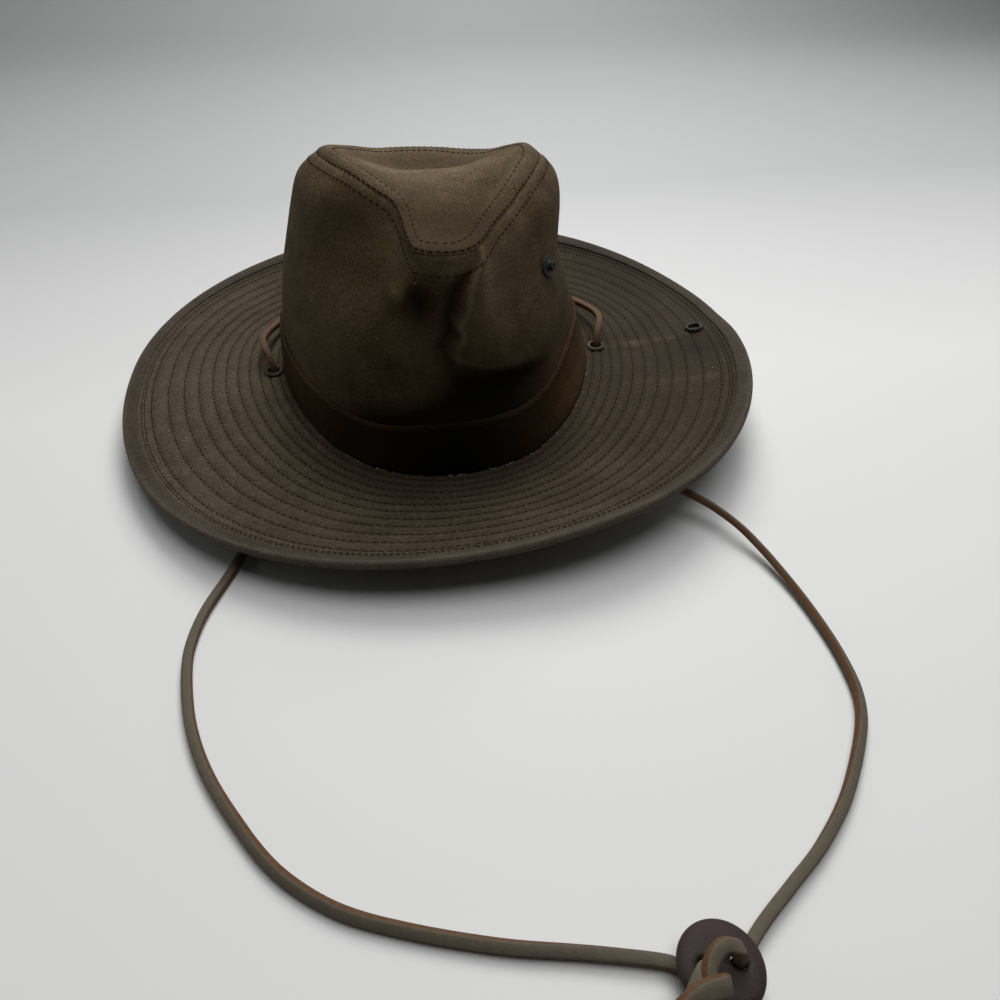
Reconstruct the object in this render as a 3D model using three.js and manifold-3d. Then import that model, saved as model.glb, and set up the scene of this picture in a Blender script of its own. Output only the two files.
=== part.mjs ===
// Bush hat of waxed cotton with a pinched crown, a stitched brim and a leather chin lace.
// Millimetres, +Z up. The front of the hat looks towards -Y and the table is z = 0.
// The hat rests on the front and the back of its crown, and the lace lies on the table.
import * as THREE from 'three';
import { mergeVertices } from 'three/addons/utils/BufferGeometryUtils.js';
import Module from 'manifold-3d';

const wasm = await Module();
wasm.setup();

// Driving dimensions
const headHalfWidth = 82;
const headHalfLength = 99.5;
const sideLift = 16;
const crownHeight = 119;
const prowLength = 78;
const tipBackLength = 70;
const channelHeight = 110;
const clothThickness = 1.6;
const bandHeight = 25.5;
const bandThickness = 1.2;
const bandGap = 0.6;
const brimHalfWidth = 163;
const brimHalfLength = 176;
const brimThickness = 1.8;
const bindingThickness = 1;
const bindingShare = 0.125;
const clearance = 0.3;

// Fittings and lace
const laceWidth = 4;
const eyeletSide = 88;
const eyeletFore = -16;
const eyeletFlangeRadius = 5.4;
const eyeletFlangeThickness = 0.8;
const eyeletTubeWall = 0.5;
const snapFlangeRadius = 5.2;
const snapFlangeThickness = 0.9;
const studPostRadius = 2.4;
const studPostHeight = 2.6;
const studAngle = -44;
const studUp = 0.7;
const socketWall = 2.2;
const socketHeight = 1.8;
const socketAngle = -6.5;
const socketInset = 17;
const toggleRadius = 11.8;
const toggleThickness = 5;
const toggleHoleSpacing = 9;
const knotRadius = 5.6;

// Where the toggle lies and where the lace ends, on the table
const toggleCentre = new THREE.Vector3(42.5, -320.5, 0);
const knotCentre = new THREE.Vector3(19.5, -343, 0);
const tailHeading = 222;

// Number of stations round the hat, closer together at the front where the pinches are
const stationCount = 64;
const frontCrowding = 0.42;

// Widths of the crown from its foot to the tip seam.
// up: share of the wall's height; left, right, front, back: shares of the head's half sizes
const crownRows = [
  { up: 0, left: 1, right: 1, front: 1, back: 1 },
  { up: 0.12, left: 0.99, right: 0.96, front: 0.985, back: 0.985 },
  { up: 0.25, left: 0.972, right: 0.915, front: 0.965, back: 0.96 },
  { up: 0.4, left: 0.945, right: 0.865, front: 0.93, back: 0.925 },
  { up: 0.6, left: 0.89, right: 0.8, front: 0.885, back: 0.875 },
  { up: 0.8, left: 0.825, right: 0.775, front: 0.835, back: 0.81 },
  { up: 0.92, left: 0.76, right: 0.735, front: 0.805, back: 0.76 },
  { up: 1, left: 0.634, right: 0.634, front: 0.784, back: 0.704 },
];

// The tip seam round the crown. pinch: how far it is drawn in, as a share of the prow's length;
// foot: the share of the wall's height where that fold starts; up: share of the crown's height;
// roll: height of the round edge inside the seam, as a share of the crown's height
const seamRows = [
  { angle: -90, pinch: 0, foot: 0.3, up: 0.85, roll: 0.004 },
  { angle: -84, pinch: -0.01, foot: 0.3, up: 0.851, roll: 0.004 },
  { angle: -78, pinch: 0.013, foot: 0.35, up: 0.857, roll: 0.004 },
  { angle: -67, pinch: 0.098, foot: 0.35, up: 0.884, roll: 0.004 },
  { angle: -50, pinch: 0.09, foot: 0.45, up: 0.92, roll: 0.008 },
  { angle: -36, pinch: 0.04, foot: 0.5, up: 0.958, roll: 0.014 },
  { angle: -14, pinch: -0.025, foot: 0.5, up: 0.99, roll: 0.03 },
  { angle: 6, pinch: -0.03, foot: 0.5, up: 0.985, roll: 0.03 },
  { angle: 30, pinch: 0, foot: 0.5, up: 0.945, roll: 0.016 },
  { angle: 53, pinch: 0, foot: 0.5, up: 0.89, roll: 0.008 },
  { angle: 73, pinch: 0, foot: 0.5, up: 0.866, roll: 0.008 },
  { angle: 107, pinch: 0, foot: 0.5, up: 0.88, roll: 0.008 },
  { angle: 127, pinch: 0.01, foot: 0.5, up: 0.93, roll: 0.008 },
  { angle: 150, pinch: 0, foot: 0.5, up: 0.98, roll: 0.012 },
  { angle: 166, pinch: 0, foot: 0.5, up: 0.99, roll: 0.016 },
  { angle: 182, pinch: 0.055, foot: 0.5, up: 0.99, roll: 0.016 },
  { angle: 196, pinch: 0.105, foot: 0.5, up: 0.99, roll: 0.014 },
  { angle: 212, pinch: 0.16, foot: 0.5, up: 0.99, roll: 0.012 },
  { angle: 226, pinch: 0.21, foot: 0.52, up: 0.98, roll: 0.01 },
  { angle: 238, pinch: 0.26, foot: 0.56, up: 0.96, roll: 0.008 },
  { angle: 246, pinch: 0.3, foot: 0.6, up: 0.938, roll: 0.006 },
  { angle: 251, pinch: 0.28, foot: 0.66, up: 0.912, roll: 0.004 },
  { angle: 255, pinch: 0.22, foot: 0.7, up: 0.886, roll: 0.004 },
  { angle: 258, pinch: 0.13, foot: 0.72, up: 0.868, roll: 0.004 },
  { angle: 261, pinch: 0.035, foot: 0.72, up: 0.855, roll: 0.004 },
];

// Dents and folds in the crown's wall. angle, spread and lean in degrees (lean: how far the
// fold turns from the foot to the seam), up and rise as shares of the wall's height, depth as a
// share of the prow's length (negative bulges out)
const dentRows = [
  { name: 'front_slot', angle: -91, lean: 0, spread: 9, up: 0.58, rise: 0.2, depth: 0.12 },
  { name: 'front_hollow', angle: -84, lean: 0, spread: 26, up: 0.38, rise: 0.17, depth: 0.07 },
  { name: 'neck', angle: -90, lean: 0, spread: 9, up: 0.86, rise: 0.14, depth: -0.03 },
  { name: 'right_crease', angle: -79, lean: 14, spread: 4, up: 0.76, rise: 0.24, depth: 0.07 },
  { name: 'left_crease', angle: 250, lean: 0, spread: 5, up: 0.74, rise: 0.12, depth: 0.04 },
  { name: 'left_bulge', angle: 240, lean: 0, spread: 15, up: 0.52, rise: 0.2, depth: -0.045 },
  { name: 'right_bulge', angle: -62, lean: 0, spread: 15, up: 0.5, rise: 0.13, depth: -0.06 },
  { name: 'right_tuck', angle: -66, lean: 0, spread: 14, up: 0.3, rise: 0.09, depth: 0.04 },
  { name: 'right_foot', angle: -42, lean: 0, spread: 24, up: 0.22, rise: 0.22, depth: 0.055 },
  { name: 'side_notch', angle: -6, lean: 0, spread: 12, up: 0.56, rise: 0.06, depth: 0.025 },
];

// Bottom of the tip's channel from the prow to the back, as shares of the tip's own lengths
// (-1 at the prow, 1 at the back) and of the channel's height
const channelRows = [
  { along: -1, up: 0.92 },
  { along: -0.75, up: 0.945 },
  { along: -0.5, up: 0.97 },
  { along: -0.2, up: 0.995 },
  { along: 0.05, up: 1 },
  { along: 0.3, up: 0.95 },
  { along: 0.55, up: 0.885 },
  { along: 0.75, up: 0.88 },
  { along: 0.92, up: 0.925 },
  { along: 1, up: 0.937 },
];

// Height of the brim's edge above the table, as a share of the crown's height
const brimEdgeRows = [
  { angle: -90, up: 0.175 },
  { angle: -72, up: 0.215 },
  { angle: -50, up: 0.235 },
  { angle: -28, up: 0.255 },
  { angle: -12, up: 0.245 },
  { angle: 0, up: 0.21 },
  { angle: 20, up: 0.185 },
  { angle: 55, up: 0.19 },
  { angle: 90, up: 0.18 },
  { angle: 125, up: 0.155 },
  { angle: 160, up: 0.145 },
  { angle: 190, up: 0.135 },
  { angle: 215, up: 0.115 },
  { angle: 240, up: 0.14 },
];

// Routes of the lace's three stretches
const laceLeftPoints = [
  [-88.2, -16, 13], [-88.6, -16.6, 8.8], [-90.2, -20, 3.8], [-92, -28, 2.4], [-93.5, -45, 2.3],
  [-93, -70, 2.3], [-91, -100, 2.3], [-92, -128, 2.3], [-98.5, -150, 2.3], [-106, -170, 2.3],
  [-109, -186, 2.3], [-108.5, -200, 2.3], [-104.5, -220, 2.3], [-97, -239.4, 2.3],
  [-85.5, -258.5, 2.3], [-72.2, -275.8, 2.3], [-56, -288.5, 2.3], [-38, -296.6, 2.3],
  [-12, -305, 2.3], [12, -310.5, 2.3], [30, -315.4, 2.3], [35.4, -318.6, 2.5],
  [37.8, -320.2, 5.4], [38, -320.6, 10.8], [36.6, -322.6, 14.6], [33.2, -326.2, 15.2],
  [29.6, -329.8, 12.2], [26.6, -333, 6.4], [23, -336.6, 3.4],
];
const laceRightPoints = [
  [88.2, -16, 13], [88.8, -16.8, 8.8], [91, -22, 5.2], [95, -34, 4.4], [97.5, -55, 5],
  [94.5, -82, 7], [89.5, -110, 10], [89.5, -128, 12.4], [95.5, -140.6, 12.8], [105, -149, 10.4],
  [114, -161, 7.4], [120.3, -176, 4.4], [124.7, -196, 2.6], [126.3, -215, 2.3],
  [126, -231, 2.3], [123.5, -246, 2.3], [116.5, -260, 2.3], [101.2, -279.4, 2.3],
  [86, -293, 2.3], [72, -302.4, 2.3], [60, -310.4, 2.3], [50.2, -318.2, 2.4],
  [47.3, -320.2, 5], [47, -320.6, 10.8], [45.6, -322.8, 14.8], [41, -327.6, 16.4],
  [36, -332, 14.4], [31, -336.4, 7.4], [25.6, -340.8, 3.4],
];
const laceBackPoints = [
  [-88, -16, 17.4], [-88.2, -15.6, 20.6], [-89.2, -12.8, 24.4], [-91.2, -8, 26.8],
  [-93, 0, 27.6], [-91.6, 12, 26.4], [-86.4, 31, 23], [-77.5, 52, 18.6], [-66.5, 69, 13.4],
  [-50.5, 86, 8.4], [-31, 98.5, 6], [-10, 104.6, 5.2], [12, 104.6, 5.2], [33, 98, 6.2],
  [52, 85.4, 8.8], [67.4, 69, 13.8], [78, 52, 18.8], [86.4, 31, 23], [91.6, 12, 26.4],
  [93, 0, 27.6], [91.2, -8, 26.8], [89.2, -12.8, 24.4], [88.2, -15.6, 20.6], [88, -16, 17.4],
];

const fullTurn = 360;
const radians = THREE.MathUtils.degToRad;

function smoothStep(low, high, value) {
  return THREE.MathUtils.smoothstep(value, low, high);
}

function bell(distance, spread) {
  return Math.exp(-((distance / spread) ** 2));
}

// Signed difference of two angles, in -180 to 180
function angleApart(first, second) {
  return THREE.MathUtils.euclideanModulo(first - second + 180, fullTurn) - 180;
}

// Smooth curve through rows with a rising key column; a closed one repeats after a turn
function alongRows(rows, key, column, value, closed = false) {
  const count = rows.length;
  const keyAt = (i) => {
    if (!closed) return rows[THREE.MathUtils.clamp(i, 0, count - 1)][key];
    const turns = Math.floor(i / count);
    return rows[i - turns * count][key] + turns * fullTurn;
  };
  const valueAt = (i) => {
    if (!closed) return rows[THREE.MathUtils.clamp(i, 0, count - 1)][column];
    return rows[i - Math.floor(i / count) * count][column];
  };
  const start = rows[0][key];
  const wanted = closed ? start + THREE.MathUtils.euclideanModulo(value - start, fullTurn) : value;
  let i = 0;
  while (i < count - (closed ? 1 : 2) && keyAt(i + 1) <= wanted) i += 1;
  const slopeAt = (j) => {
    const width = keyAt(j + 1) - keyAt(j - 1);
    return width === 0 ? 0 : (valueAt(j + 1) - valueAt(j - 1)) / width;
  };
  const width = keyAt(i + 1) - keyAt(i);
  const t = THREE.MathUtils.clamp((wanted - keyAt(i)) / width, 0, 1);
  const t2 = t * t;
  const t3 = t2 * t;
  return valueAt(i) * (2 * t3 - 3 * t2 + 1) + valueAt(i + 1) * (3 * t2 - 2 * t3)
    + width * (slopeAt(i) * (t3 - 2 * t2 + t) + slopeAt(i + 1) * (t3 - t2));
}

// Radius of a plan outline that is an oval with its own half size each way
function ovalRadius(angle, left, right, front, back, squareness = 2) {
  const cosine = Math.cos(radians(angle));
  const sine = Math.sin(radians(angle));
  const across = Math.abs(cosine) / (cosine < 0 ? left : right);
  const along = Math.abs(sine) / (sine < 0 ? front : back);
  return (across ** squareness + along ** squareness) ** (-1 / squareness);
}

// Height of the crown's foot: flat on the table at the front and back, lifted at the sides
const restShare = 0.34;
function footHeight(angle) {
  const share = Math.max(0, Math.abs(Math.cos(radians(angle))) - restShare) / (1 - restShare);
  return sideLift * share ** 1.6;
}

function seamHeight(angle) {
  return crownHeight * alongRows(seamRows, 'angle', 'up', angle, true);
}

// Outer surface of the crown's wall; up runs from 0 at the foot to 1 at the tip seam
function wallPoint(angle, up) {
  const width = (column) => headHalfWidth * alongRows(crownRows, 'up', column, up);
  const length = (column) => headHalfLength * alongRows(crownRows, 'up', column, up);
  let radius = ovalRadius(angle, width('left'), width('right'), length('front'), length('back'));
  const foot = alongRows(seamRows, 'angle', 'foot', angle, true);
  radius -= prowLength * alongRows(seamRows, 'angle', 'pinch', angle, true) * smoothStep(foot, 1, up);
  for (const dent of dentRows) {
    const middle = dent.angle + dent.lean * (up - dent.up);
    radius -= prowLength * dent.depth * bell(angleApart(angle, middle), dent.spread)
      * bell(up - dent.up, dent.rise) * smoothStep(0, 0.12, up);
  }
  const foot0 = footHeight(angle);
  const height = foot0 + (seamHeight(angle) - foot0) * up;
  return new THREE.Vector3(
    radius * Math.cos(radians(angle)), radius * Math.sin(radians(angle)), height);
}

// A point of the tip seam, moved into the crown by a distance in plan
const smallAngle = 0.5;
function seamPoint(angle, inset) {
  const point = wallPoint(angle, 1);
  const round = wallPoint(angle + smallAngle, 1).sub(wallPoint(angle - smallAngle, 1)).setZ(0);
  const inward = new THREE.Vector3(-round.y, round.x, 0).normalize();
  return point.addScaledVector(inward, inset);
}

// Outer surface of the tip; inward runs from 0 at its own edge to 1 at the middle
const rollPlace = 0.05;
const rollWidth = 0.09;
function tipPoint(angle, inward) {
  const edge = seamPoint(angle, clothThickness + clearance);
  const point = new THREE.Vector3(edge.x * (1 - inward), edge.y * (1 - inward), 0);
  const along = point.y < 0 ? point.y / prowLength : point.y / tipBackLength;
  const channel = channelHeight * alongRows(channelRows, 'along', 'up', along);
  const roll = crownHeight * alongRows(seamRows, 'angle', 'roll', angle, true)
    * (bell(inward - rollPlace, rollWidth) - bell(inward, rollPlace));
  point.z = THREE.MathUtils.lerp(edge.z, channel, smoothStep(0, 0.85, inward)) + roll;
  return point;
}

// Upper surface of the brim; out runs from 0 at the crown to 1 at the edge
const frontSquareness = 2.25;
const backSquareness = 1.95;
function brimPoint(angle, out) {
  const squareness = Math.sin(radians(angle)) < 0 ? frontSquareness : backSquareness;
  const inner = ovalRadius(angle, headHalfWidth, headHalfWidth, headHalfLength, headHalfLength)
    + clearance;
  const outer = ovalRadius(angle, brimHalfWidth, brimHalfWidth, brimHalfLength, brimHalfLength,
    squareness) - clearance - bindingThickness;
  const radius = THREE.MathUtils.lerp(inner, outer, out);
  const low = footHeight(angle) + clearance + brimThickness;
  const high = crownHeight * alongRows(brimEdgeRows, 'angle', 'up', angle, true);
  const sag = out * out;
  return new THREE.Vector3(radius * Math.cos(radians(angle)), radius * Math.sin(radians(angle)),
    THREE.MathUtils.lerp(low, high, sag));
}

// Stations round the hat
const stations = [];
for (let i = 0; i < stationCount; i += 1) {
  const even = (fullTurn * i) / stationCount;
  const crowd = THREE.MathUtils.radToDeg(frontCrowding) * Math.cos(radians(even));
  stations.push(even - crowd);
}

function ringOf(pointAt, share) {
  return stations.map((angle) => pointAt(angle, share));
}

// Outward normals of a net of closed rings that run anticlockwise, upwards or inwards
function ringNormals(rings) {
  return rings.map((ring, r) => ring.map((point, i) => {
    const before = ring[(i + ring.length - 1) % ring.length];
    const after = ring[(i + 1) % ring.length];
    const below = rings[Math.max(r - 1, 0)][i];
    const above = rings[Math.min(r + 1, rings.length - 1)][i];
    const round = new THREE.Vector3().subVectors(after, before);
    const rise = new THREE.Vector3().subVectors(above, below);
    return round.cross(rise).normalize();
  }));
}

function moved(rings, vectors, distance) {
  return rings.map((ring, r) => ring.map((point, i) => (
    point.clone().addScaledVector(vectors[r][i], distance))));
}

// Closed solid between two nets of rings. A net may close on a point at its last end.
function shell(outer, inner, outerTip = null, innerTip = null) {
  const positions = [];
  const faces = [];
  const count = outer[0].length;
  const put = (rings) => rings.map((ring) => ring.map((point) => {
    positions.push(point.x, point.y, point.z);
    return positions.length / 3 - 1;
  }));
  const quad = (a, b, c, d) => faces.push(a, b, c, a, c, d);
  const o = put(outer);
  const n = put(inner);
  const last = outer.length - 1;
  for (let i = 0; i < count; i += 1) {
    const j = (i + 1) % count;
    for (let r = 0; r < last; r += 1) {
      quad(o[r][i], o[r][j], o[r + 1][j], o[r + 1][i]);
      quad(n[r][j], n[r][i], n[r + 1][i], n[r + 1][j]);
    }
    quad(n[0][i], n[0][j], o[0][j], o[0][i]);
    if (!outerTip) quad(o[last][i], o[last][j], n[last][j], n[last][i]);
  }
  if (outerTip) {
    const [[top]] = put([[outerTip]]);
    const [[under]] = put([[innerTip]]);
    for (let i = 0; i < count; i += 1) {
      const j = (i + 1) % count;
      faces.push(o[last][i], o[last][j], top);
      faces.push(n[last][j], n[last][i], under);
    }
  }
  return solidGeometry(positions, faces);
}

function solidGeometry(positions, faces) {
  const geometry = new THREE.BufferGeometry();
  geometry.setAttribute('position', new THREE.Float32BufferAttribute(positions, 3));
  geometry.setIndex(faces);
  return geometry;
}

function toManifold(geometry) {
  const bare = geometry.clone();
  bare.deleteAttribute('normal');
  bare.deleteAttribute('uv');
  const merged = mergeVertices(bare, 1e-4);
  return new wasm.Manifold(new wasm.Mesh({
    numProp: 3,
    vertProperties: new Float32Array(merged.attributes.position.array),
    triVerts: new Uint32Array(merged.index.array),
  }));
}

function fromManifold(manifold) {
  const mesh = manifold.getMesh();
  return solidGeometry(Array.from(mesh.vertProperties), Array.from(mesh.triVerts));
}

// A turned piece with its axis along Z, from a closed outline of radius and height
const turnedSides = 16;
function turned(outline) {
  const points = [...outline, outline[0]].map(([radius, height]) => new THREE.Vector2(radius, height));
  const geometry = new THREE.LatheGeometry(points, turnedSides);
  geometry.rotateX(Math.PI / 2);
  return geometry;
}

// Moves a turned piece onto a place, with its axis along a direction
function placed(geometry, place, direction) {
  const turn = new THREE.Quaternion().setFromUnitVectors(new THREE.Vector3(0, 0, 1), direction);
  return geometry.applyQuaternion(turn).translate(place.x, place.y, place.z);
}

// Normal of a surface at a station and share, from two small steps on it
const smallShare = 0.01;
function surfaceNormal(pointAt, angle, share) {
  const round = pointAt(angle + smallAngle, share).sub(pointAt(angle - smallAngle, share));
  const rise = pointAt(angle, share + smallShare).sub(pointAt(angle, share - smallShare));
  return round.cross(rise).normalize();
}

function brimPlace(side, fore) {
  const angle = THREE.MathUtils.radToDeg(Math.atan2(fore, side));
  const reach = Math.hypot(side, fore);
  const inner = Math.hypot(brimPoint(angle, 0).x, brimPoint(angle, 0).y);
  const outer = Math.hypot(brimPoint(angle, 1).x, brimPoint(angle, 1).y);
  const out = (reach - inner) / (outer - inner);
  return { angle, out, point: brimPoint(angle, out),
    normal: surfaceNormal(brimPoint, angle, out).negate() };
}

// Crown wall: a tube of cloth whose top edge is the tip seam
const wallShares = [0, 0.07, 0.14, 0.22, 0.31, 0.41, 0.52, 0.63, 0.74, 0.84, 0.93, 1];
function buildCrownWall() {
  const outer = wallShares.map((share) => ringOf(wallPoint, share));
  const inner = moved(outer, ringNormals(outer), -clothThickness);
  inner[0] = inner[0].map((point, i) => point.setZ(outer[0][i].z));
  inner[inner.length - 1] = stations.map((angle) => seamPoint(angle, clothThickness));
  return shell(outer, inner);
}

// Crown tip: a sheet inside the wall's top edge, level with the seam
const tipShares = [0, 0.05, 0.13, 0.27, 0.47, 0.72];
function buildCrownTip() {
  const outer = tipShares.map((share) => ringOf(tipPoint, share));
  const lowered = (point) => point.clone().setZ(point.z - clothThickness);
  const middle = tipPoint(0, 1);
  return shell(outer, outer.map((ring) => ring.map(lowered)), middle, lowered(middle));
}

// Band: a strip round the wall's foot that stands on the brim
function buildBand() {
  const rows = [0, 0.33, 0.67, 1];
  const foot = (angle) => brimPoint(angle, 0).z + clearance;
  const bandShare = (angle, share) => {
    const low = footHeight(angle);
    const height = foot(angle) + (bandHeight - foot(angle) + low) * share;
    return (height - low) / (seamHeight(angle) - low);
  };
  const against = rows.map((share) => stations.map((angle) => wallPoint(angle, bandShare(angle, share))));
  const normals = ringNormals(against);
  const inner = moved(against, normals, bandGap);
  const outer = moved(against, normals, bandGap + bandThickness);
  outer[0] = outer[0].map((point, i) => point.setZ(inner[0][i].z));
  return shell(outer, inner);
}

// Brim: an annular sheet with a hole for each eyelet. Its last row but one is where the
// binding starts.
const brimShares = [0, 0.15, 0.33, 0.51, 0.7, 1 - bindingShare, 1];
const brimRings = brimShares.map((share) => ringOf(brimPoint, share));
const brimUnderside = ringNormals(brimRings);
const eyelets = { left: brimPlace(-eyeletSide, eyeletFore), right: brimPlace(eyeletSide, eyeletFore) };
const eyeletBore = laceWidth * 0.74;
const eyeletHoleRadius = eyeletBore + eyeletTubeWall + clearance;
function buildBrim() {
  const under = moved(brimRings, brimUnderside, brimThickness);
  let solid = toManifold(shell(under, brimRings));
  for (const place of Object.values(eyelets)) {
    const drill = new THREE.CylinderGeometry(eyeletHoleRadius, eyeletHoleRadius,
      brimThickness * 8, turnedSides).rotateX(Math.PI / 2);
    solid = solid.subtract(toManifold(placed(drill, place.point, place.normal)));
  }
  return fromManifold(solid);
}

// Binding: a strip folded over the brim's edge, as a U that is open towards the crown.
// row: the brim's ring that it follows, counted from the edge; reach: how far beyond that ring;
// drop: how far below the brim's upper face
function buildBinding() {
  const over = -clearance - bindingThickness;
  const under = brimThickness + clearance + bindingThickness;
  const nose = clearance + bindingThickness;
  const section = [
    { row: 1, reach: 0, drop: over }, { row: 0, reach: clearance, drop: over },
    { row: 0, reach: nose, drop: 0 }, { row: 0, reach: nose, drop: brimThickness },
    { row: 0, reach: clearance, drop: under }, { row: 1, reach: 0, drop: under },
    { row: 1, reach: 0, drop: brimThickness + clearance },
    { row: 0, reach: clearance, drop: brimThickness + clearance },
    { row: 0, reach: clearance, drop: -clearance }, { row: 1, reach: 0, drop: -clearance },
  ];
  const edge = brimRings.length - 1;
  const outward = brimRings[edge].map((point, i) => point.clone().sub(brimRings[edge - 1][i]).normalize());
  const rings = section.map(({ row, reach, drop }) => brimRings[edge - row].map((point, i) => (
    point.clone().addScaledVector(brimUnderside[edge - row][i], drop).addScaledVector(outward[i], reach))));
  return loopOfRings(rings);
}

// Closed solid from rings that go round a section and meet again
function loopOfRings(rings) {
  const positions = [];
  const faces = [];
  const count = rings[0].length;
  for (const ring of rings) for (const point of ring) positions.push(point.x, point.y, point.z);
  rings.forEach((ring, r) => {
    const next = (r + 1) % rings.length;
    for (let i = 0; i < count; i += 1) {
      const j = (i + 1) % count;
      const [a, b, c, d] = [r * count + i, r * count + j, next * count + j, next * count + i];
      faces.push(a, d, c, a, c, b);
    }
  });
  return solidGeometry(positions, faces);
}

// Eyelet: a flange above and below the brim, joined by the tube that the lace passes through
function buildEyelet(place) {
  const tube = eyeletBore + eyeletTubeWall;
  const top = clearance + eyeletFlangeThickness;
  const low = -brimThickness - clearance - eyeletFlangeThickness;
  const outline = [
    [eyeletBore, low], [eyeletFlangeRadius, low], [eyeletFlangeRadius, low + eyeletFlangeThickness],
    [tube, low + eyeletFlangeThickness], [tube, clearance], [eyeletFlangeRadius, clearance],
    [eyeletFlangeRadius - eyeletTubeWall, top], [eyeletBore + eyeletTubeWall, top],
    [eyeletBore, top - eyeletTubeWall],
  ];
  return placed(turned(outline), place.point, place.normal);
}

function buildSnapStud() {
  const outline = [
    [0, 0], [snapFlangeRadius, 0], [snapFlangeRadius, snapFlangeThickness * 0.6],
    [snapFlangeRadius * 0.8, snapFlangeThickness], [studPostRadius, snapFlangeThickness],
    [studPostRadius * 0.85, snapFlangeThickness + studPostHeight * 0.4],
    [studPostRadius, snapFlangeThickness + studPostHeight * 0.8],
    [studPostRadius * 0.7, snapFlangeThickness + studPostHeight],
    [0, snapFlangeThickness + studPostHeight],
  ];
  const normal = surfaceNormal(wallPoint, studAngle, studUp);
  const place = wallPoint(studAngle, studUp).addScaledVector(normal, clearance);
  return placed(turned(outline), place, normal);
}

function buildSnapSocket() {
  const edge = brimPoint(socketAngle, 1);
  const reach = Math.hypot(edge.x, edge.y) - socketInset;
  const seat = brimPlace(reach * Math.cos(radians(socketAngle)), reach * Math.sin(radians(socketAngle)));
  const bore = snapFlangeRadius - socketWall;
  const outline = [
    [bore, 0], [snapFlangeRadius, 0], [snapFlangeRadius, socketHeight * 0.4],
    [snapFlangeRadius - socketWall * 0.3, socketHeight],
    [bore + socketWall * 0.25, socketHeight], [bore, socketHeight * 0.6],
  ];
  return placed(turned(outline), seat.point.addScaledVector(seat.normal, clearance), seat.normal);
}

// Lace: a square cord with eased corners. Its sections stand at the route's own points, which
// are closer together where it bends.
class LaceRoute extends THREE.CatmullRomCurve3 {
  getUtoTmapping(share) {
    return share;
  }
}

function buildLace(points) {
  const route = new LaceRoute(points.map((point) => new THREE.Vector3(...point)));
  const half = laceWidth / 2;
  const eased = half * 0.5;
  const outline = new THREE.Shape();
  outline.moveTo(half, -eased);
  outline.lineTo(half, eased);
  outline.lineTo(eased, half);
  outline.lineTo(-eased, half);
  outline.lineTo(-half, eased);
  outline.lineTo(-half, -eased);
  outline.lineTo(-eased, -half);
  outline.lineTo(eased, -half);
  const steps = points.length - 1;
  return new THREE.ExtrudeGeometry(outline, { steps, extrudePath: route, bevelEnabled: false });
}

// Toggle: a thick leather disc with two holes, lying on the lace
function buildToggle() {
  const half = toggleThickness / 2;
  const outline = [
    [0, -half], [toggleRadius * 0.8, -half], [toggleRadius, -half * 0.35], [toggleRadius, half * 0.35],
    [toggleRadius * 0.8, half], [0, half],
  ];
  const low = laceWidth + clearance * 6;
  let solid = toManifold(turned(outline));
  const holeRadius = laceWidth * 0.84;
  for (const side of [-1, 1]) {
    const hole = new THREE.CylinderGeometry(holeRadius, holeRadius, toggleThickness * 2, turnedSides)
      .rotateX(Math.PI / 2).translate((side * toggleHoleSpacing) / 2, 0, 0);
    solid = solid.subtract(toManifold(hole));
  }
  return fromManifold(solid).translate(toggleCentre.x, toggleCentre.y, low + half);
}

// Knot: a flattened ball with the two cut ends of the lace
const knotSides = 14;
function buildKnot() {
  const ball = new THREE.SphereGeometry(knotRadius, knotSides, knotSides / 2);
  ball.scale(1, 0.85, 0.75);
  let solid = toManifold(ball.rotateZ(radians(tailHeading)));
  const endLength = knotRadius * 2.6;
  for (const side of [-1, 1]) {
    const end = new THREE.BoxGeometry(endLength, laceWidth * 0.9, laceWidth * 0.9);
    end.translate(endLength / 2, 0, 0).rotateZ(radians(tailHeading + side * 20));
    solid = solid.add(toManifold(end));
  }
  return fromManifold(solid).translate(knotCentre.x, knotCentre.y, knotRadius * 0.76);
}

// Finishes, from the photo
const cloth = { color: 0x3a3122, roughness: 0.9, metalness: 0 };
const clothDark = { color: 0x33291c, roughness: 0.92, metalness: 0 };
const brass = { color: 0x4a3f2a, roughness: 0.5, metalness: 0.7 };
const snapMetal = { color: 0x20251f, roughness: 0.45, metalness: 0.6 };
const leather = { color: 0x4b3b2a, roughness: 0.7, metalness: 0 };
const toggleLeather = { color: 0x2e211c, roughness: 0.6, metalness: 0 };

const hat = new THREE.Group();
function add(name, geometry, finish) {
  const mesh = new THREE.Mesh(geometry, new THREE.MeshStandardMaterial(finish));
  mesh.name = name;
  hat.add(mesh);
}

add('crown_wall', buildCrownWall(), cloth);
add('crown_tip', buildCrownTip(), cloth);
add('band', buildBand(), clothDark);
add('brim', buildBrim(), cloth);
add('edge_binding', buildBinding(), clothDark);
add('eyelet_left', buildEyelet(eyelets.left), brass);
add('eyelet_right', buildEyelet(eyelets.right), brass);
add('snap_stud', buildSnapStud(), snapMetal);
add('snap_socket', buildSnapSocket(), snapMetal);
add('lace_back', buildLace(laceBackPoints), leather);
add('lace_left', buildLace(laceLeftPoints), leather);
add('lace_right', buildLace(laceRightPoints), leather);
add('toggle', buildToggle(), toggleLeather);
add('lace_knot', buildKnot(), leather);

export default hat;
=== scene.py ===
import math
import random
import bpy
import bmesh
from mathutils import Matrix, Vector, noise


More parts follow.
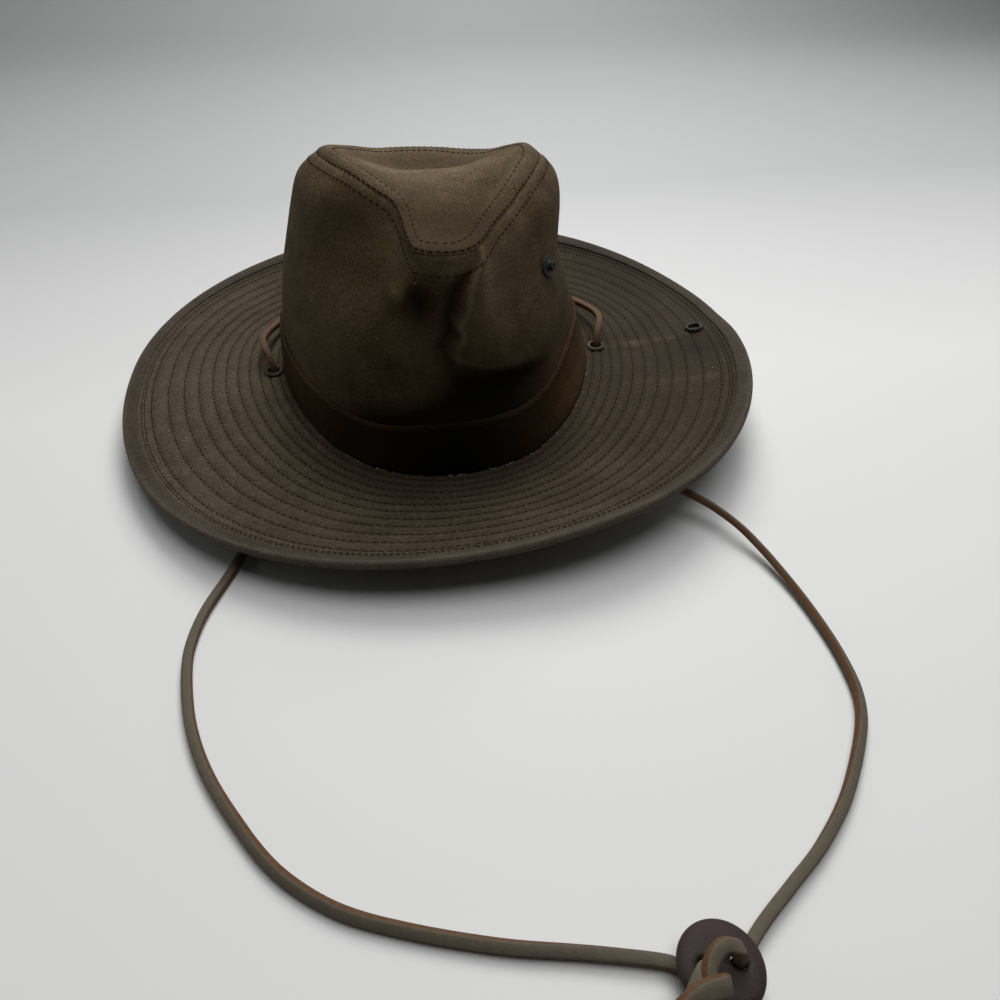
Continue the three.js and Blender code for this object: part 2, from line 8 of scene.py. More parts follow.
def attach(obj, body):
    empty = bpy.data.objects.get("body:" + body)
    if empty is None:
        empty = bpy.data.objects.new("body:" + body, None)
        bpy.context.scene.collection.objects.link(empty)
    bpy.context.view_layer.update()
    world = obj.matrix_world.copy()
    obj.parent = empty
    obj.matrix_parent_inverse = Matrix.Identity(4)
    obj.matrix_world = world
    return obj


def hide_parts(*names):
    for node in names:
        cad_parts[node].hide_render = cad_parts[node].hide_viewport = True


# Bush hat of waxed cotton on a table. Metres, +Z up, the hat's front towards -Y.
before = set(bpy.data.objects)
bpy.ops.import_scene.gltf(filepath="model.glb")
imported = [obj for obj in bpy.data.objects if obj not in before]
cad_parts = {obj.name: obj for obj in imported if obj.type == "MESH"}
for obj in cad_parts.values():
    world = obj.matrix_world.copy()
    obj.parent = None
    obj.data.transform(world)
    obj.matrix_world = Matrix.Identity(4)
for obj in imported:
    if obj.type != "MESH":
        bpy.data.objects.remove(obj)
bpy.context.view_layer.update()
chance = random.Random(11)

# what the whole hat is worked out from
hat = dict(
    headHalfWidth=0.082, headHalfLength=0.0995, sideLift=0.016, restShare=0.34, liftPower=1.6,
    crownHeight=0.119, prowLength=0.078, tipBackLength=0.070, channelHeight=0.110,
    clothThickness=0.0016, bandHeight=0.0255, bandThickness=0.0012, bandGap=0.0006,
    brimHalfWidth=0.163, brimHalfLength=0.176, brimThickness=0.0018, bindingThickness=0.001,
    clearance=0.0003, frontSquareness=2.25, backSquareness=1.95, frontCrowding=0.58,
)


def tableOf(keys, rows):
    # one dictionary for each row
    return [dict(zip(keys.split(), row)) for row in rows]


# widths of the crown, shares of the head's half sizes
crownRows = tableOf("up left right front back", [
    (0, 1, 1, 1, 1), (0.12, 0.99, 0.96, 0.985, 0.985), (0.25, 0.972, 0.915, 0.965, 0.96),
    (0.4, 0.945, 0.865, 0.93, 0.925), (0.6, 0.89, 0.8, 0.885, 0.875), (0.8, 0.825, 0.775, 0.835, 0.81),
    (0.92, 0.76, 0.735, 0.805, 0.76), (1, 0.634, 0.634, 0.784, 0.704),
])

# the tip seam: how far it is pinched in, where that fold starts, its height and the roll inside it
seamRows = tableOf("angle pinch foot up roll", [
    (-90, 0, 0.3, 0.85, 0.004), (-84, -0.01, 0.3, 0.851, 0.004), (-78, 0.013, 0.35, 0.857, 0.004),
    (-67, 0.098, 0.35, 0.884, 0.004), (-50, 0.09, 0.45, 0.92, 0.008), (-36, 0.04, 0.5, 0.958, 0.014),
    (-14, -0.025, 0.5, 0.99, 0.03), (6, -0.03, 0.5, 0.985, 0.03), (30, 0, 0.5, 0.945, 0.016),
    (53, 0, 0.5, 0.89, 0.008), (73, 0, 0.5, 0.866, 0.008), (107, 0, 0.5, 0.88, 0.008),
    (127, 0.01, 0.5, 0.93, 0.008), (150, 0, 0.5, 0.98, 0.012), (166, 0, 0.5, 0.995, 0.024),
    (182, 0.055, 0.5, 1, 0.03), (196, 0.105, 0.5, 1, 0.026), (212, 0.16, 0.5, 1, 0.018),
    (226, 0.21, 0.52, 0.988, 0.012), (238, 0.26, 0.56, 0.965, 0.008), (246, 0.3, 0.6, 0.943, 0.006),
    (251, 0.29, 0.66, 0.918, 0.004), (255, 0.23, 0.7, 0.89, 0.004), (258, 0.13, 0.72, 0.87, 0.004),
    (261, 0.035, 0.72, 0.855, 0.004),
])

# dents of the wall, in degrees and shares; a negative depth stands out
dentRows = tableOf("name angle lean spread up rise depth", [
    ("frontHollow", -88, 0, 24, 0.42, 0.22, 0.075), ("neck", -90, 0, 9, 0.86, 0.14, -0.03),
    ("leftBulge", 240, 0, 15, 0.52, 0.2, -0.045), ("rightBulge", -66, 0, 19, 0.56, 0.17, -0.045),
    ("rightShade", -50, 0, 12, 0.84, 0.07, 0.018), ("rightFoot", -42, 0, 24, 0.22, 0.22, 0.055),
    ("sideNotch", -7, 0, 14, 0.66, 0.09, 0.042), ("underSeam", 232, 0, 16, 0.87, 0.05, 0.022),
    ("leftLip", 254.5, 10, 3.4, 0.785, 0.042, -0.036),
    ("underLip", 256.5, 30, 4.5, 0.705, 0.035, 0.026), ("rightBrow", -78, -20, 5, 0.72, 0.2, -0.012),
])

# the pocket pressed into the front: its two sides, how soft each is, and its depth
pocketRows = tableOf("up left right leftSoft rightSoft depth", [
    (0.16, -106, -62, 12, 12, 0), (0.25, -106, -60, 12, 12, 0.012), (0.34, -105, -60, 10, 10, 0.055),
    (0.41, -104, -68, 9, 8, 0.09), (0.47, -103, -82, 8, 5, 0.105), (0.53, -102.5, -89.4, 6, 2.0, 0.12),
    (0.59, -102.5, -89.6, 5, 1.5, 0.125), (0.65, -102.5, -87.6, 4, 1.3, 0.13),
    (0.7, -102.5, -88.2, 2.8, 1.2, 0.13), (0.75, -102.3, -86.2, 1.8, 1.15, 0.13),
    (0.81, -101, -85.4, 1.3, 1.15, 0.11), (0.87, -98.5, -83, 2, 1.7, 0.065),
    (0.92, -97.5, -81, 2, 1.8, 0.014), (0.96, -97.5, -80, 2, 2, 0),
])

# thin folds that stand out or sink in along a line; metres
foldRows = [
    dict(name="creaseEdge", height=0.0014, wide=1.2, line=[(-78, 0.93), (-81.5, 0.88), (-83.5, 0.81),
                                                           (-84.2, 0.75), (-86.2, 0.7), (-85.6, 0.65),
                                                           (-87.4, 0.59), (-87.6, 0.53)]),
    dict(name="pleat", height=0.0009, wide=1.0, line=[(-77.2, 0.98), (-77.6, 0.93), (-79.5, 0.885)]),
    dict(name="pleatSide", height=-0.0011, wide=0.9, line=[(-79.4, 0.98), (-79.8, 0.93), (-81.6, 0.9)]),
    dict(name="leftEdge", height=0.001, wide=2, line=[(-99.5, 0.92), (-101, 0.86), (-104.5, 0.82),
                                                      (-107, 0.76), (-109, 0.68)]),
    dict(name="hollowRib", height=0.0012, wide=2.5, line=[(-99, 0.74), (-95, 0.68), (-93, 0.6)]),
]

channelRows = tableOf("along up", [
    (-1, 0.92), (-0.75, 0.945), (-0.5, 0.97), (-0.2, 0.995), (0.05, 1), (0.3, 0.95), (0.55, 0.885),
    (0.75, 0.88), (0.92, 0.925), (1, 0.937),
])

brimEdgeRows = tableOf("angle up", [
    (-90, 0.175), (-72, 0.215), (-50, 0.235), (-28, 0.255), (-12, 0.245), (0, 0.21), (20, 0.185),
    (55, 0.19), (90, 0.18), (125, 0.155), (160, 0.145), (190, 0.135), (215, 0.115), (240, 0.14),
])


def smoothStep(low, high, value):
    t = min(1.0, max(0.0, (value - low) / (high - low)))
    return t * t * (3 - 2 * t)


def mix(first, second, share):
    return first + (second - first) * share


def bell(distance, spread):
    return math.exp(-((distance / spread) ** 2))


def angleApart(first, second):
    return (first - second + 180) % 360 - 180


def near(angle, middle, spread):
    return bell(angleApart(angle, middle), spread)


def alongRows(rows, key, column, value, closed=False):
    # smooth curve through the rows; a closed one repeats after a turn
    count = len(rows)

    def at(i, name):
        if not closed:
            return rows[min(max(i, 0), count - 1)][name]
        return rows[i % count][name] + (i // count * 360 if name == key else 0)

    start = rows[0][key]
    wanted = start + (value - start) % 360 if closed else value
    i = 0
    while i < count - (1 if closed else 2) and at(i + 1, key) <= wanted:
        i += 1

    def slope(j):
        width = at(j + 1, key) - at(j - 1, key)
        return 0 if width == 0 else (at(j + 1, column) - at(j - 1, column)) / width

    width = at(i + 1, key) - at(i, key)
    t = min(1.0, max(0.0, (wanted - at(i, key)) / width))
    t2, t3 = t * t, t * t * t
    return (at(i, column) * (2 * t3 - 3 * t2 + 1) + at(i + 1, column) * (3 * t2 - 2 * t3)
            + width * (slope(i) * (t3 - 2 * t2 + t) + slope(i + 1) * (t3 - t2)))


known = {}


def remember(kind, value, work):
    # the same rows are asked for the same angle many times
    key = (kind, round(value, 5))
    if key not in known:
        known[key] = work(value)
    return known[key]


def seamValue(column, angle):
    return remember("seam " + column, angle % 360, lambda a: alongRows(seamRows, "angle", column, a, True))


def crownShare(column, up):
    return remember("crown " + column, up, lambda u: alongRows(crownRows, "up", column, u))


def ovalRadius(angle, left, right, front, back, squareness=2):
    cosine, sine = math.cos(math.radians(angle)), math.sin(math.radians(angle))
    across = abs(cosine) / (left if cosine < 0 else right)
    along = abs(sine) / (front if sine < 0 else back)
    return (across ** squareness + along ** squareness) ** (-1 / squareness)


def polar(radius, angle, height):
    return Vector((radius * math.cos(math.radians(angle)), radius * math.sin(math.radians(angle)), height))


def footHeight(angle):
    share = max(0, abs(math.cos(math.radians(angle))) - hat["restShare"]) / (1 - hat["restShare"])
    return hat["sideLift"] * share ** hat["liftPower"]


def seamHeight(angle):
    return hat["crownHeight"] * seamValue("up", angle)


def wallPoint(angle, up):
    left, right = (hat["headHalfWidth"] * crownShare(column, up) for column in ("left", "right"))
    front, back = (hat["headHalfLength"] * crownShare(column, up) for column in ("front", "back"))
    radius = ovalRadius(angle, left, right, front, back)
    radius -= hat["prowLength"] * seamValue("pinch", angle) * smoothStep(seamValue("foot", angle), 1, up)
    for dent in dentRows:
        middle = dent["angle"] + dent["lean"] * (up - dent["up"])
        radius -= (hat["prowLength"] * dent["depth"] * bell(angleApart(angle, middle), dent["spread"])
                   * bell(up - dent["up"], dent["rise"]) * smoothStep(0, 0.12, up))
    radius -= hat["prowLength"] * pocketDepth(angle, up)
    radius += foldHeight(angle, up)
    low = footHeight(angle)
    return polar(radius, angle, low + (seamHeight(angle) - low) * up)


def pocketDepth(angle, up):
    turn = angleApart(angle, -90) - 90
    if abs(turn + 88) > 50 or up < pocketRows[0]["up"] or up > pocketRows[-1]["up"]:
        return 0
    side = {column: remember("pocket " + column, up, lambda u: alongRows(pocketRows, "up", column, u))
            for column in ("left", "right", "leftSoft", "rightSoft", "depth")}
    columns = ("left", "right", "leftSoft", "rightSoft")
    left, right, leftSoft, rightSoft = (side[column] for column in columns)
    return (side["depth"] * smoothStep(left - leftSoft, left + leftSoft, turn)
            * smoothStep(right + rightSoft, right - rightSoft, turn))


def foldHeight(angle, up):
    # degrees and shares are compared as if the wall were flat: a share of height is 90 degrees long
    turn = angleApart(angle, -90) - 90
    if abs(turn + 90) > 30 or up < 0.38:
        return 0
    height = 0
    here = Vector((turn, up * 90))
    for fold in foldRows:
        nearest = 1e9
        for a, b in zip(fold["line"], fold["line"][1:]):
            start, end = Vector((a[0], a[1] * 90)), Vector((b[0], b[1] * 90))
            share = min(1, max(0, (here - start).dot(end - start) / (end - start).length_squared))
            nearest = min(nearest, (here - start.lerp(end, share)).length)
        height += fold["height"] * bell(nearest, fold["wide"])
    return height * smoothStep(0.995, 0.965, up)


def seamFrame(angle):
    around = wallPoint(angle + 0.5, 1) - wallPoint(angle - 0.5, 1)
    return wallPoint(angle, 1), Vector((-around.y, around.x, 0)).normalized()


def seamPoint(angle, inset):
    point, inwards = remember("seam frame", angle % 360, seamFrame)
    return point + inwards * inset


def tipPoint(angle, inward):
    edge = seamPoint(angle, hat["clothThickness"] + hat["clearance"])
    point = Vector((edge.x * (1 - inward), edge.y * (1 - inward), 0))
    along = point.y / (hat["prowLength"] if point.y < 0 else hat["tipBackLength"])
    channel = hat["channelHeight"] * alongRows(channelRows, "along", "up", along)
    roll = (hat["crownHeight"] * seamValue("roll", angle)
            * (bell(inward - 0.05, 0.09) - bell(inward, 0.05)))
    point.z = mix(edge.z, channel, smoothStep(0, 0.85, inward)) + roll
    return point


def brimReach(angle):
    return remember("reach", angle % 360, workOutReach)


def workOutReach(angle):
    squareness = hat["frontSquareness"] if math.sin(math.radians(angle)) < 0 else hat["backSquareness"]
    inner = ovalRadius(angle, hat["headHalfWidth"], hat["headHalfWidth"],
                       hat["headHalfLength"], hat["headHalfLength"]) + hat["clearance"]
    outer = ovalRadius(angle, hat["brimHalfWidth"], hat["brimHalfWidth"], hat["brimHalfLength"],
                       hat["brimHalfLength"], squareness) - hat["clearance"] - hat["bindingThickness"]
    return inner, outer


def brimPoint(angle, out):
    inner, outer = brimReach(angle)
    low = footHeight(angle) + hat["clearance"] + hat["brimThickness"]
    high = hat["crownHeight"] * remember(
        "edge", angle % 360, lambda a: alongRows(brimEdgeRows, "angle", "up", a, True))
    return polar(mix(inner, outer, out), angle, mix(low, high, out * out))


def surfaceNormal(pointAt, angle, share):
    around = pointAt(angle + 0.5, share) - pointAt(angle - 0.5, share)
    rise = pointAt(angle, share + 0.01) - pointAt(angle, share - 0.01)
    return around.cross(rise).normalized()


# the photo's view, degrees and millimetres of lens
camera = dict(place=(-0.024, -0.381, 0.222), down=40, turn=9, lens=27.04, sensor=36)


def makeCamera():
    data = bpy.data.cameras.new("photoCamera")
    data.lens = camera["lens"]
    data.sensor_width = camera["sensor"]
    data.clip_start = 0.01
    view = bpy.data.objects.new("photoCamera", data)
    view.location = camera["place"]
    view.rotation_euler = (math.radians(90 - camera["down"]), 0, math.radians(-camera["turn"]))
    bpy.context.scene.collection.objects.link(view)
    bpy.context.scene.camera = view


makeCamera()
print("camera placed")


def newObject(name, work, material):
    mesh = bpy.data.meshes.new(name)
    work.to_mesh(mesh)
    work.free()
    mesh.shade_smooth()
    made = bpy.data.objects.new(name, mesh)
    made.data.materials.append(material)
    bpy.context.scene.collection.objects.link(made)
    return made


def finishMesh(name, work, material):
    piece = newObject(name, work, material)
    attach(piece, "root")
    return piece


def clothGrid(around, rows, placeAt, toneAndPaintedLightAt=None, closed=True):
    # a grid bent round by placeAt(turn, rise), with a flat cloth map in metres
    work = bmesh.new()
    flat = work.loops.layers.uv.new("cloth")
    toneAndPaintedLight = work.verts.layers.float.new("toneAndPaintedLight")
    bmesh.ops.create_grid(work, x_segments=around, y_segments=rows, size=0.5)
    for face in work.faces:
        for loop in face.loops:
            loop[flat].uv = (loop.vert.co.x + 0.5, loop.vert.co.y + 0.5)
    for vert in work.verts:
        turn, rise = vert.co.x + 0.5, vert.co.y + 0.5
        vert[toneAndPaintedLight] = toneAndPaintedLightAt(turn, rise) if toneAndPaintedLightAt else 0
        vert.co = placeAt(turn, rise)
    if closed:
        bmesh.ops.remove_doubles(work, verts=work.verts, dist=2e-6)
    return work


def scaleMap(work, wide, high):
    flat = work.loops.layers.uv.active
    for face in work.faces:
        for loop in face.loops:
            loop[flat].uv = (loop[flat].uv[0] * wide, loop[flat].uv[1] * high)


def flatMap(work):
    # tip and brim are cut from flat cloth, so their weave runs straight across
    flat = work.loops.layers.uv.active
    for face in work.faces:
        for loop in face.loops:
            loop[flat].uv = loop.vert.co.xy


def stationAngle(turn):
    # stations are closer together at the front, where the folds are
    even = 360 * turn
    return even - math.degrees(hat["frontCrowding"]) * math.cos(math.radians(even))


def thicken(piece, thickness, offset=-1):
    wall = piece.modifiers.new("wall", "SOLIDIFY")
    wall.thickness = thickness
    wall.offset = offset
    wall.use_even_offset = False


# cords: the same route points as the solids
lace = dict(width=0.0036, depth=0.0031, sides=16, steps=6)
laceLeftRoute = [
    (-88.2, -16, 13), (-88.6, -16.6, 8.8), (-90.2, -20, 3.8), (-92, -28, 2.4), (-93.5, -45, 2.3),
    (-93, -70, 2.3), (-91, -100, 2.3), (-92, -128, 2.3), (-98.5, -150, 2.3), (-106, -170, 2.3),
    (-109, -186, 2.3), (-108.5, -200, 2.3), (-104.5, -220, 2.3), (-97, -239.4, 2.3),
    (-85.5, -258.5, 2.3), (-72.2, -275.8, 2.3), (-56, -288.5, 2.3), (-38, -296.6, 2.3),
    (-12, -305, 2.3), (12, -310.5, 2.3), (30, -315.4, 2.3), (35.4, -318.6, 2.5),
    (37.8, -320.2, 5.4), (38.2, -320.8, 10.8), (37.4, -321.6, 14), (34.8, -323.6, 15.6),
    (31.6, -327.2, 14), (28, -331.6, 8.4), (23, -336.6, 3.4),
]
laceRightRoute = [
    (88.2, -16, 13), (88.8, -16.8, 8.8), (91, -22, 5.2), (95, -34, 4.4), (97.5, -55, 5),
    (94.5, -82, 7), (89.5, -110, 10), (89.5, -128, 12.4), (95.5, -140.6, 12.8), (105, -149, 10.4),
    (114, -161, 7.4), (120.3, -176, 4.4), (124.7, -196, 2.6), (126.3, -215, 2.3),
    (126, -231, 2.3), (123.5, -246, 2.3), (116.5, -260, 2.3), (101.2, -279.4, 2.3),
    (86, -293, 2.3), (72, -302.4, 2.3), (60, -310.4, 2.3), (50.2, -318.2, 2.4),
    (47.3, -320.2, 5), (47.2, -320.4, 10.8), (46, -319.4, 15.4), (42, -318.8, 17.6),
    (37.6, -321.8, 17.6), (35.6, -326.4, 16),
    (34.5, -331, 13.4), (30, -336, 8.2), (25.6, -340.8, 3.4),
]
laceBackRoute = [
    (-88, -16, 17.4), (-88.2, -15.6, 20.6), (-89.2, -12.8, 24.4), (-91.2, -8, 26.8),
    (-93, 0, 27.6), (-91.6, 12, 26.4), (-86.4, 31, 23), (-77.5, 52, 18.6), (-66.5, 69, 13.4),
    (-50.5, 86, 8.4), (-31, 98.5, 6), (-10, 104.6, 5.2), (12, 104.6, 5.2), (33, 98, 6.2),
    (52, 85.4, 8.8), (67.4, 69, 13.8), (78, 52, 18.8), (86.4, 31, 23), (91.6, 12, 26.4),
    (93, 0, 27.6), (91.2, -8, 26.8), (89.2, -12.8, 24.4), (88.2, -15.6, 20.6), (88, -16, 17.4),
]


def smoothRoute(route, steps):
    points = [Vector(p) / 1000 for p in route]
    line = []
    for i in range(len(points) - 1):
        a, b, c, d = (points[max(0, min(len(points) - 1, i + k))] for k in (-1, 0, 1, 2))
        for s in range(steps):
            t = s / steps
            line.append(0.5 * ((2 * b) + (c - a) * t + (2 * a - 5 * b + 4 * c - d) * t * t
                               + (3 * b - a - 3 * c + d) * t ** 3))
    line.append(points[-1])
    return line


def routeLength(line):
    return sum((b - a).length for a, b in zip(line, line[1:]))


def routeFrames(line, twist=None):
    # the broad side stays turned to the table, and turns smoothly where the lace stands up
    frames = []
    side = None
    for i in range(len(line)):
        ahead = (line[min(i + 1, len(line) - 1)] - line[max(i - 1, 0)]).normalized()
        level = ahead.cross(Vector((0, 0, 1)))
        steep = smoothStep(0.75, 0.97, abs(ahead.z))
        if side is None:
            side = level if level.length > 0.1 else Vector((1, 0, 0))
        wish = level.normalized() if level.length > 1e-4 else side
        if wish.dot(side) < 0 and steep > 0.3:
            wish = side
        side = (side * (0.55 + 0.43 * steep) + wish * (0.45 - 0.43 * steep))
        side = (side - ahead * side.dot(ahead)).normalized()
        turned = Matrix.Rotation(twist(i / (len(line) - 1)) if twist else 0, 3, ahead) @ side
        frames.append((ahead, turned, turned.cross(ahead)))
    return frames


def laceTube(name, line, width, depth, twist=None, dyed=0):
    frames = routeFrames(line, twist)
    last = len(line) - 1

    def place(turn, rise):
        i = round(rise * last)
        ahead, side, up = frames[i]
        a = 2 * math.pi * turn
        squareX = math.copysign(abs(math.cos(a)) ** 0.5, math.cos(a)) * width / 2
        squareY = math.copysign(abs(math.sin(a)) ** 0.5, math.sin(a)) * depth / 2
        rough = 1 + 0.035 * noise.noise(Vector((i * 0.31, 3 * math.cos(a), 3 * math.sin(a))))
        return line[i] + (side * squareX + up * squareY) * rough

    # the narrow sides carry the dyed colour
    def dye(turn, rise):
        return max(dyed, smoothStep(0.86, 0.97, abs(math.cos(2 * math.pi * turn)) ** 0.5))

    work = clothGrid(lace["sides"], last, place, dye)
    ends = [edge for edge in work.edges if edge.is_boundary]
    bmesh.ops.holes_fill(work, edges=ends)
    bmesh.ops.recalc_face_normals(work, faces=work.faces)
    scaleMap(work, 2 * (width + depth), routeLength(line))
    return finishMesh(name, work, laceLeather)


def newGroup(name, ins, outs):
    group = bpy.data.node_groups.new(name, "ShaderNodeTree")
    for label, kind, value in ins:
        socket = group.interface.new_socket(label, in_out="INPUT", socket_type=kind)
        if value is not None:
            socket.default_value = value
    for label, kind in outs:
        group.interface.new_socket(label, in_out="OUTPUT", socket_type=kind)
    return group, group.nodes.new("NodeGroupInput"), group.nodes.new("NodeGroupOutput")


def feed(tree, node, inputs):
    for key, value in inputs.items():
        if isinstance(value, bpy.types.NodeSocket):
            tree.links.new(value, node.inputs[key])
        else:
            node.inputs[key].default_value = value
    return node


def addNode(tree, kind, inputs=None, **settings):
    node = tree.nodes.new("ShaderNode" + kind)
    for key, value in settings.items():
        setattr(node, key, value)
    return feed(tree, node, inputs or {})


def mathNode(tree, kind, *values):
    return addNode(tree, "Math", dict(enumerate(values)), operation=kind).outputs[0]


def mixColour(tree, share, first, second):
    return addNode(tree, "Mix", {0: share, 6: first, 7: second}, data_type="RGBA").outputs[2]


def noiseNode(tree, where, scale, detail, **more):
    inputs = {"Vector": where, "Scale": scale, "Detail": detail}
    inputs.update({key.capitalize(): value for key, value in more.items()})
    return addNode(tree, "TexNoise", inputs).outputs["Fac"]


def spreadNode(tree, value, low, high):
    return addNode(tree, "MapRange", {"Value": value, "From Min": low, "From Max": high}).outputs[0]


def bumpNode(tree, strength, distance, height, **more):
    inputs = {"Strength": strength, "Distance": distance, "Height": height}
    inputs.update({key.capitalize(): value for key, value in more.items()})
    return addNode(tree, "Bump", inputs).outputs["Normal"]


def makeWeave():
    # plain weave from two crossing waves, a little uneven, on the flat cloth map
    group, start, end = newGroup("weave", [
        ("Map", "NodeSocketVector", None), ("Pitch", "NodeSocketFloat", 0.0007),
        ("Uneven", "NodeSocketFloat", 1.0)],
        [("Height", "NodeSocketFloat"), ("Shade", "NodeSocketFloat")])
    wander = noiseNode(group, start.outputs["Map"], 420.0, 3.0)
    scale = mathNode(group, "DIVIDE", 0.314, start.outputs["Pitch"])
    waves = []
    for direction in ("X", "Y"):
        wave = addNode(group, "TexWave", {"Vector": start.outputs["Map"], "Scale": scale,
                                          "Distortion": 1.2, "Detail": 1.0, "Detail Scale": 0.6},
                       bands_direction=direction)
        waves.append(wave.outputs["Fac"])
    threads = mathNode(group, "MAXIMUM", *waves)
    nap = mathNode(group, "MULTIPLY", wander, start.outputs["Uneven"])
    speck = noiseNode(group, start.outputs["Map"], 900.0, 2.0)
    feed(group, end, {"Height": mathNode(group, "MULTIPLY_ADD", threads, 0.6, nap),
                      "Shade": spreadNode(group, speck, 0.32, 0.68)})
    return group


def makeWaxing():
    # cloudy waxed colour: dark where the wax is thick, dry and pale where it is rubbed and where a
    # highlight is painted, near black where shade is painted
    group, start, end = newGroup("waxing", [
        ("Place", "NodeSocketVector", None), ("Wear", "NodeSocketFloat", 0.0),
        ("Deep", "NodeSocketColor", (0.05, 0.035, 0.02, 1)),
        ("Middle", "NodeSocketColor", (0.08, 0.06, 0.04, 1)),
        ("Rubbed", "NodeSocketColor", (0.16, 0.13, 0.10, 1)), ("Speck", "NodeSocketFloat", 0.5)],
        [("Colour", "NodeSocketColor"), ("DryAndPaintedLight", "NodeSocketFloat")])
    place, toneAndPaintedLight = start.outputs["Place"], start.outputs["Wear"]
    clouds = noiseNode(group, place, 22.0, 6.0, roughness=0.62, distortion=0.6)
    streaks = noiseNode(group, place, 130.0, 5.0, roughness=0.7)
    base = mixColour(group, spreadNode(group, clouds, 0.36, 0.66), start.outputs["Deep"],
                     start.outputs["Middle"])
    wearingAndPaintedLight = mathNode(group, "MULTIPLY_ADD", spreadNode(group, streaks, 0.42, 0.8), 0.22, toneAndPaintedLight)
    broken = mathNode(group, "MULTIPLY", wearingAndPaintedLight, mathNode(group, "MULTIPLY_ADD", streaks, 1.1, 0.4))
    dryAndPaintedLight = addNode(group, "Clamp", {"Value": broken}).outputs[0]
    rubbedAndPaintedLight = mixColour(group, dryAndPaintedLight, base, start.outputs["Rubbed"])
    # a negative value paints shade in, mixing the colour towards near black
    paintedShadeAndDarkening = addNode(group, "Clamp", {"Value": mathNode(group, "MULTIPLY", toneAndPaintedLight, -1.0)}).outputs[0]
    rubbedAndPaintedLight = mixColour(group, paintedShadeAndDarkening, rubbedAndPaintedLight, (0.003, 0.002, 0.001, 1))
    speckShare = mathNode(group, "MULTIPLY", mathNode(group, "SUBTRACT", start.outputs["Speck"], 0.5), 0.9)
    lighter = addNode(group, "HueSaturation",
                      {"Color": rubbedAndPaintedLight, "Value": mathNode(group, "ADD", speckShare, 1.0)})
    feed(group, end, {"Colour": lighter.outputs["Color"], "DryAndPaintedLight": dryAndPaintedLight})
    return group


def makeGrain():
    # leather: pores and wrinkles, and a mask for the rubbed high places
    group, start, end = newGroup("leatherGrain", [
        ("Place", "NodeSocketVector", None), ("Scale", "NodeSocketFloat", 900.0)],
        [("Height", "NodeSocketFloat"), ("Rub", "NodeSocketFloat")])
    place, scale = start.outputs["Place"], start.outputs["Scale"]
    cells = addNode(group, "TexVoronoi", {"Vector": place, "Scale": scale}, feature="DISTANCE_TO_EDGE")
    wrinkle = noiseNode(group, place, mathNode(group, "MULTIPLY", scale, 0.35), 6.0, roughness=0.7)
    feed(group, end, {"Height": mathNode(group, "MULTIPLY_ADD", cells.outputs["Distance"], 0.8, wrinkle),
                      "Rub": spreadNode(group, wrinkle, 0.45, 0.75)})
    return group


weaveGroup, waxingGroup, grainGroup = makeWeave(), makeWaxing(), makeGrain()


def useGroup(tree, group, **inputs):
    return addNode(tree, "Group", inputs, node_tree=group)


def newMaterial(name):
    material = bpy.data.materials.new(name)
    material.use_nodes = True
    tree = material.node_tree
    place = addNode(tree, "TexCoord").outputs["Object"]
    return material, tree, tree.nodes["Principled BSDF"], place


cloths = dict(
    crownCloth=dict(deep=(0.044, 0.028, 0.012, 1), middle=(0.064, 0.043, 0.021, 1),
                    rubbedAndPaintedLight=(0.19, 0.14, 0.088, 1), pitch=0.0007, bump=0.45, rough=0.82,
                    sheen=0.05, shine=0.07),
    brimCloth=dict(deep=(0.034, 0.023, 0.012, 1), middle=(0.051, 0.036, 0.022, 1),
                   rubbedAndPaintedLight=(0.15, 0.12, 0.085, 1), pitch=0.0007, bump=0.45, rough=0.8,
                   sheen=0.06, shine=0.14),
    bandCloth=dict(deep=(0.040, 0.022, 0.009, 1), middle=(0.062, 0.036, 0.016, 1),
                   rubbedAndPaintedLight=(0.12, 0.08, 0.045, 1), pitch=0.0007, bump=0.4, rough=0.82,
                   sheen=0.03, shine=0.04),
    bindingCloth=dict(deep=(0.036, 0.027, 0.018, 1), middle=(0.054, 0.042, 0.030, 1),
                      rubbedAndPaintedLight=(0.12, 0.095, 0.07, 1), pitch=0.00065, bump=0.35, rough=0.8,
                      sheen=0.08, shine=0.16),
)


def clothMaterial(name):
    look = cloths[name]
    material, tree, shader, place = newMaterial(name)
    flat = addNode(tree, "UVMap", uv_map="cloth").outputs["UV"]
    # the wear attribute carries wear, painted highlights and painted shade
    toneAndPaintedLight = addNode(tree, "Attribute", attribute_name="toneAndPaintedLight").outputs["Fac"]
    weave = useGroup(tree, weaveGroup, Map=flat, Pitch=look["pitch"])
    waxing = useGroup(tree, waxingGroup, Place=place, Wear=toneAndPaintedLight, Deep=look["deep"], Middle=look["middle"],
                      Rubbed=look["rubbedAndPaintedLight"], Speck=weave.outputs["Shade"])
    broad = bumpNode(tree, 0.5, 0.0012, noiseNode(tree, place, 90.0, 4.0))
    feed(tree, shader, {
        "Base Color": waxing.outputs["Colour"],
        "Roughness": mathNode(tree, "MULTIPLY_ADD", waxing.outputs["DryAndPaintedLight"], 0.12, look["rough"]),
        "Specular IOR Level": look["shine"], "Sheen Weight": look["sheen"], "Sheen Roughness": 0.45,
        "Sheen Tint": (0.85, 0.7, 0.52, 1),
        "Normal": bumpNode(tree, look["bump"], 0.0004, weave.outputs["Height"], normal=broad)})
    return material


def threadMaterial(name, colour):
    material, tree, shader, place = newMaterial(name)
    twist = noiseNode(tree, place, 1400.0, 2.0)
    dark = tuple(c * 0.6 for c in colour[:3]) + (1,)
    feed(tree, shader, {"Base Color": mixColour(tree, twist, dark, colour), "Roughness": 0.9,
                        "Specular IOR Level": 0.08, "Normal": bumpNode(tree, 0.5, 0.0002, twist)})
    return material


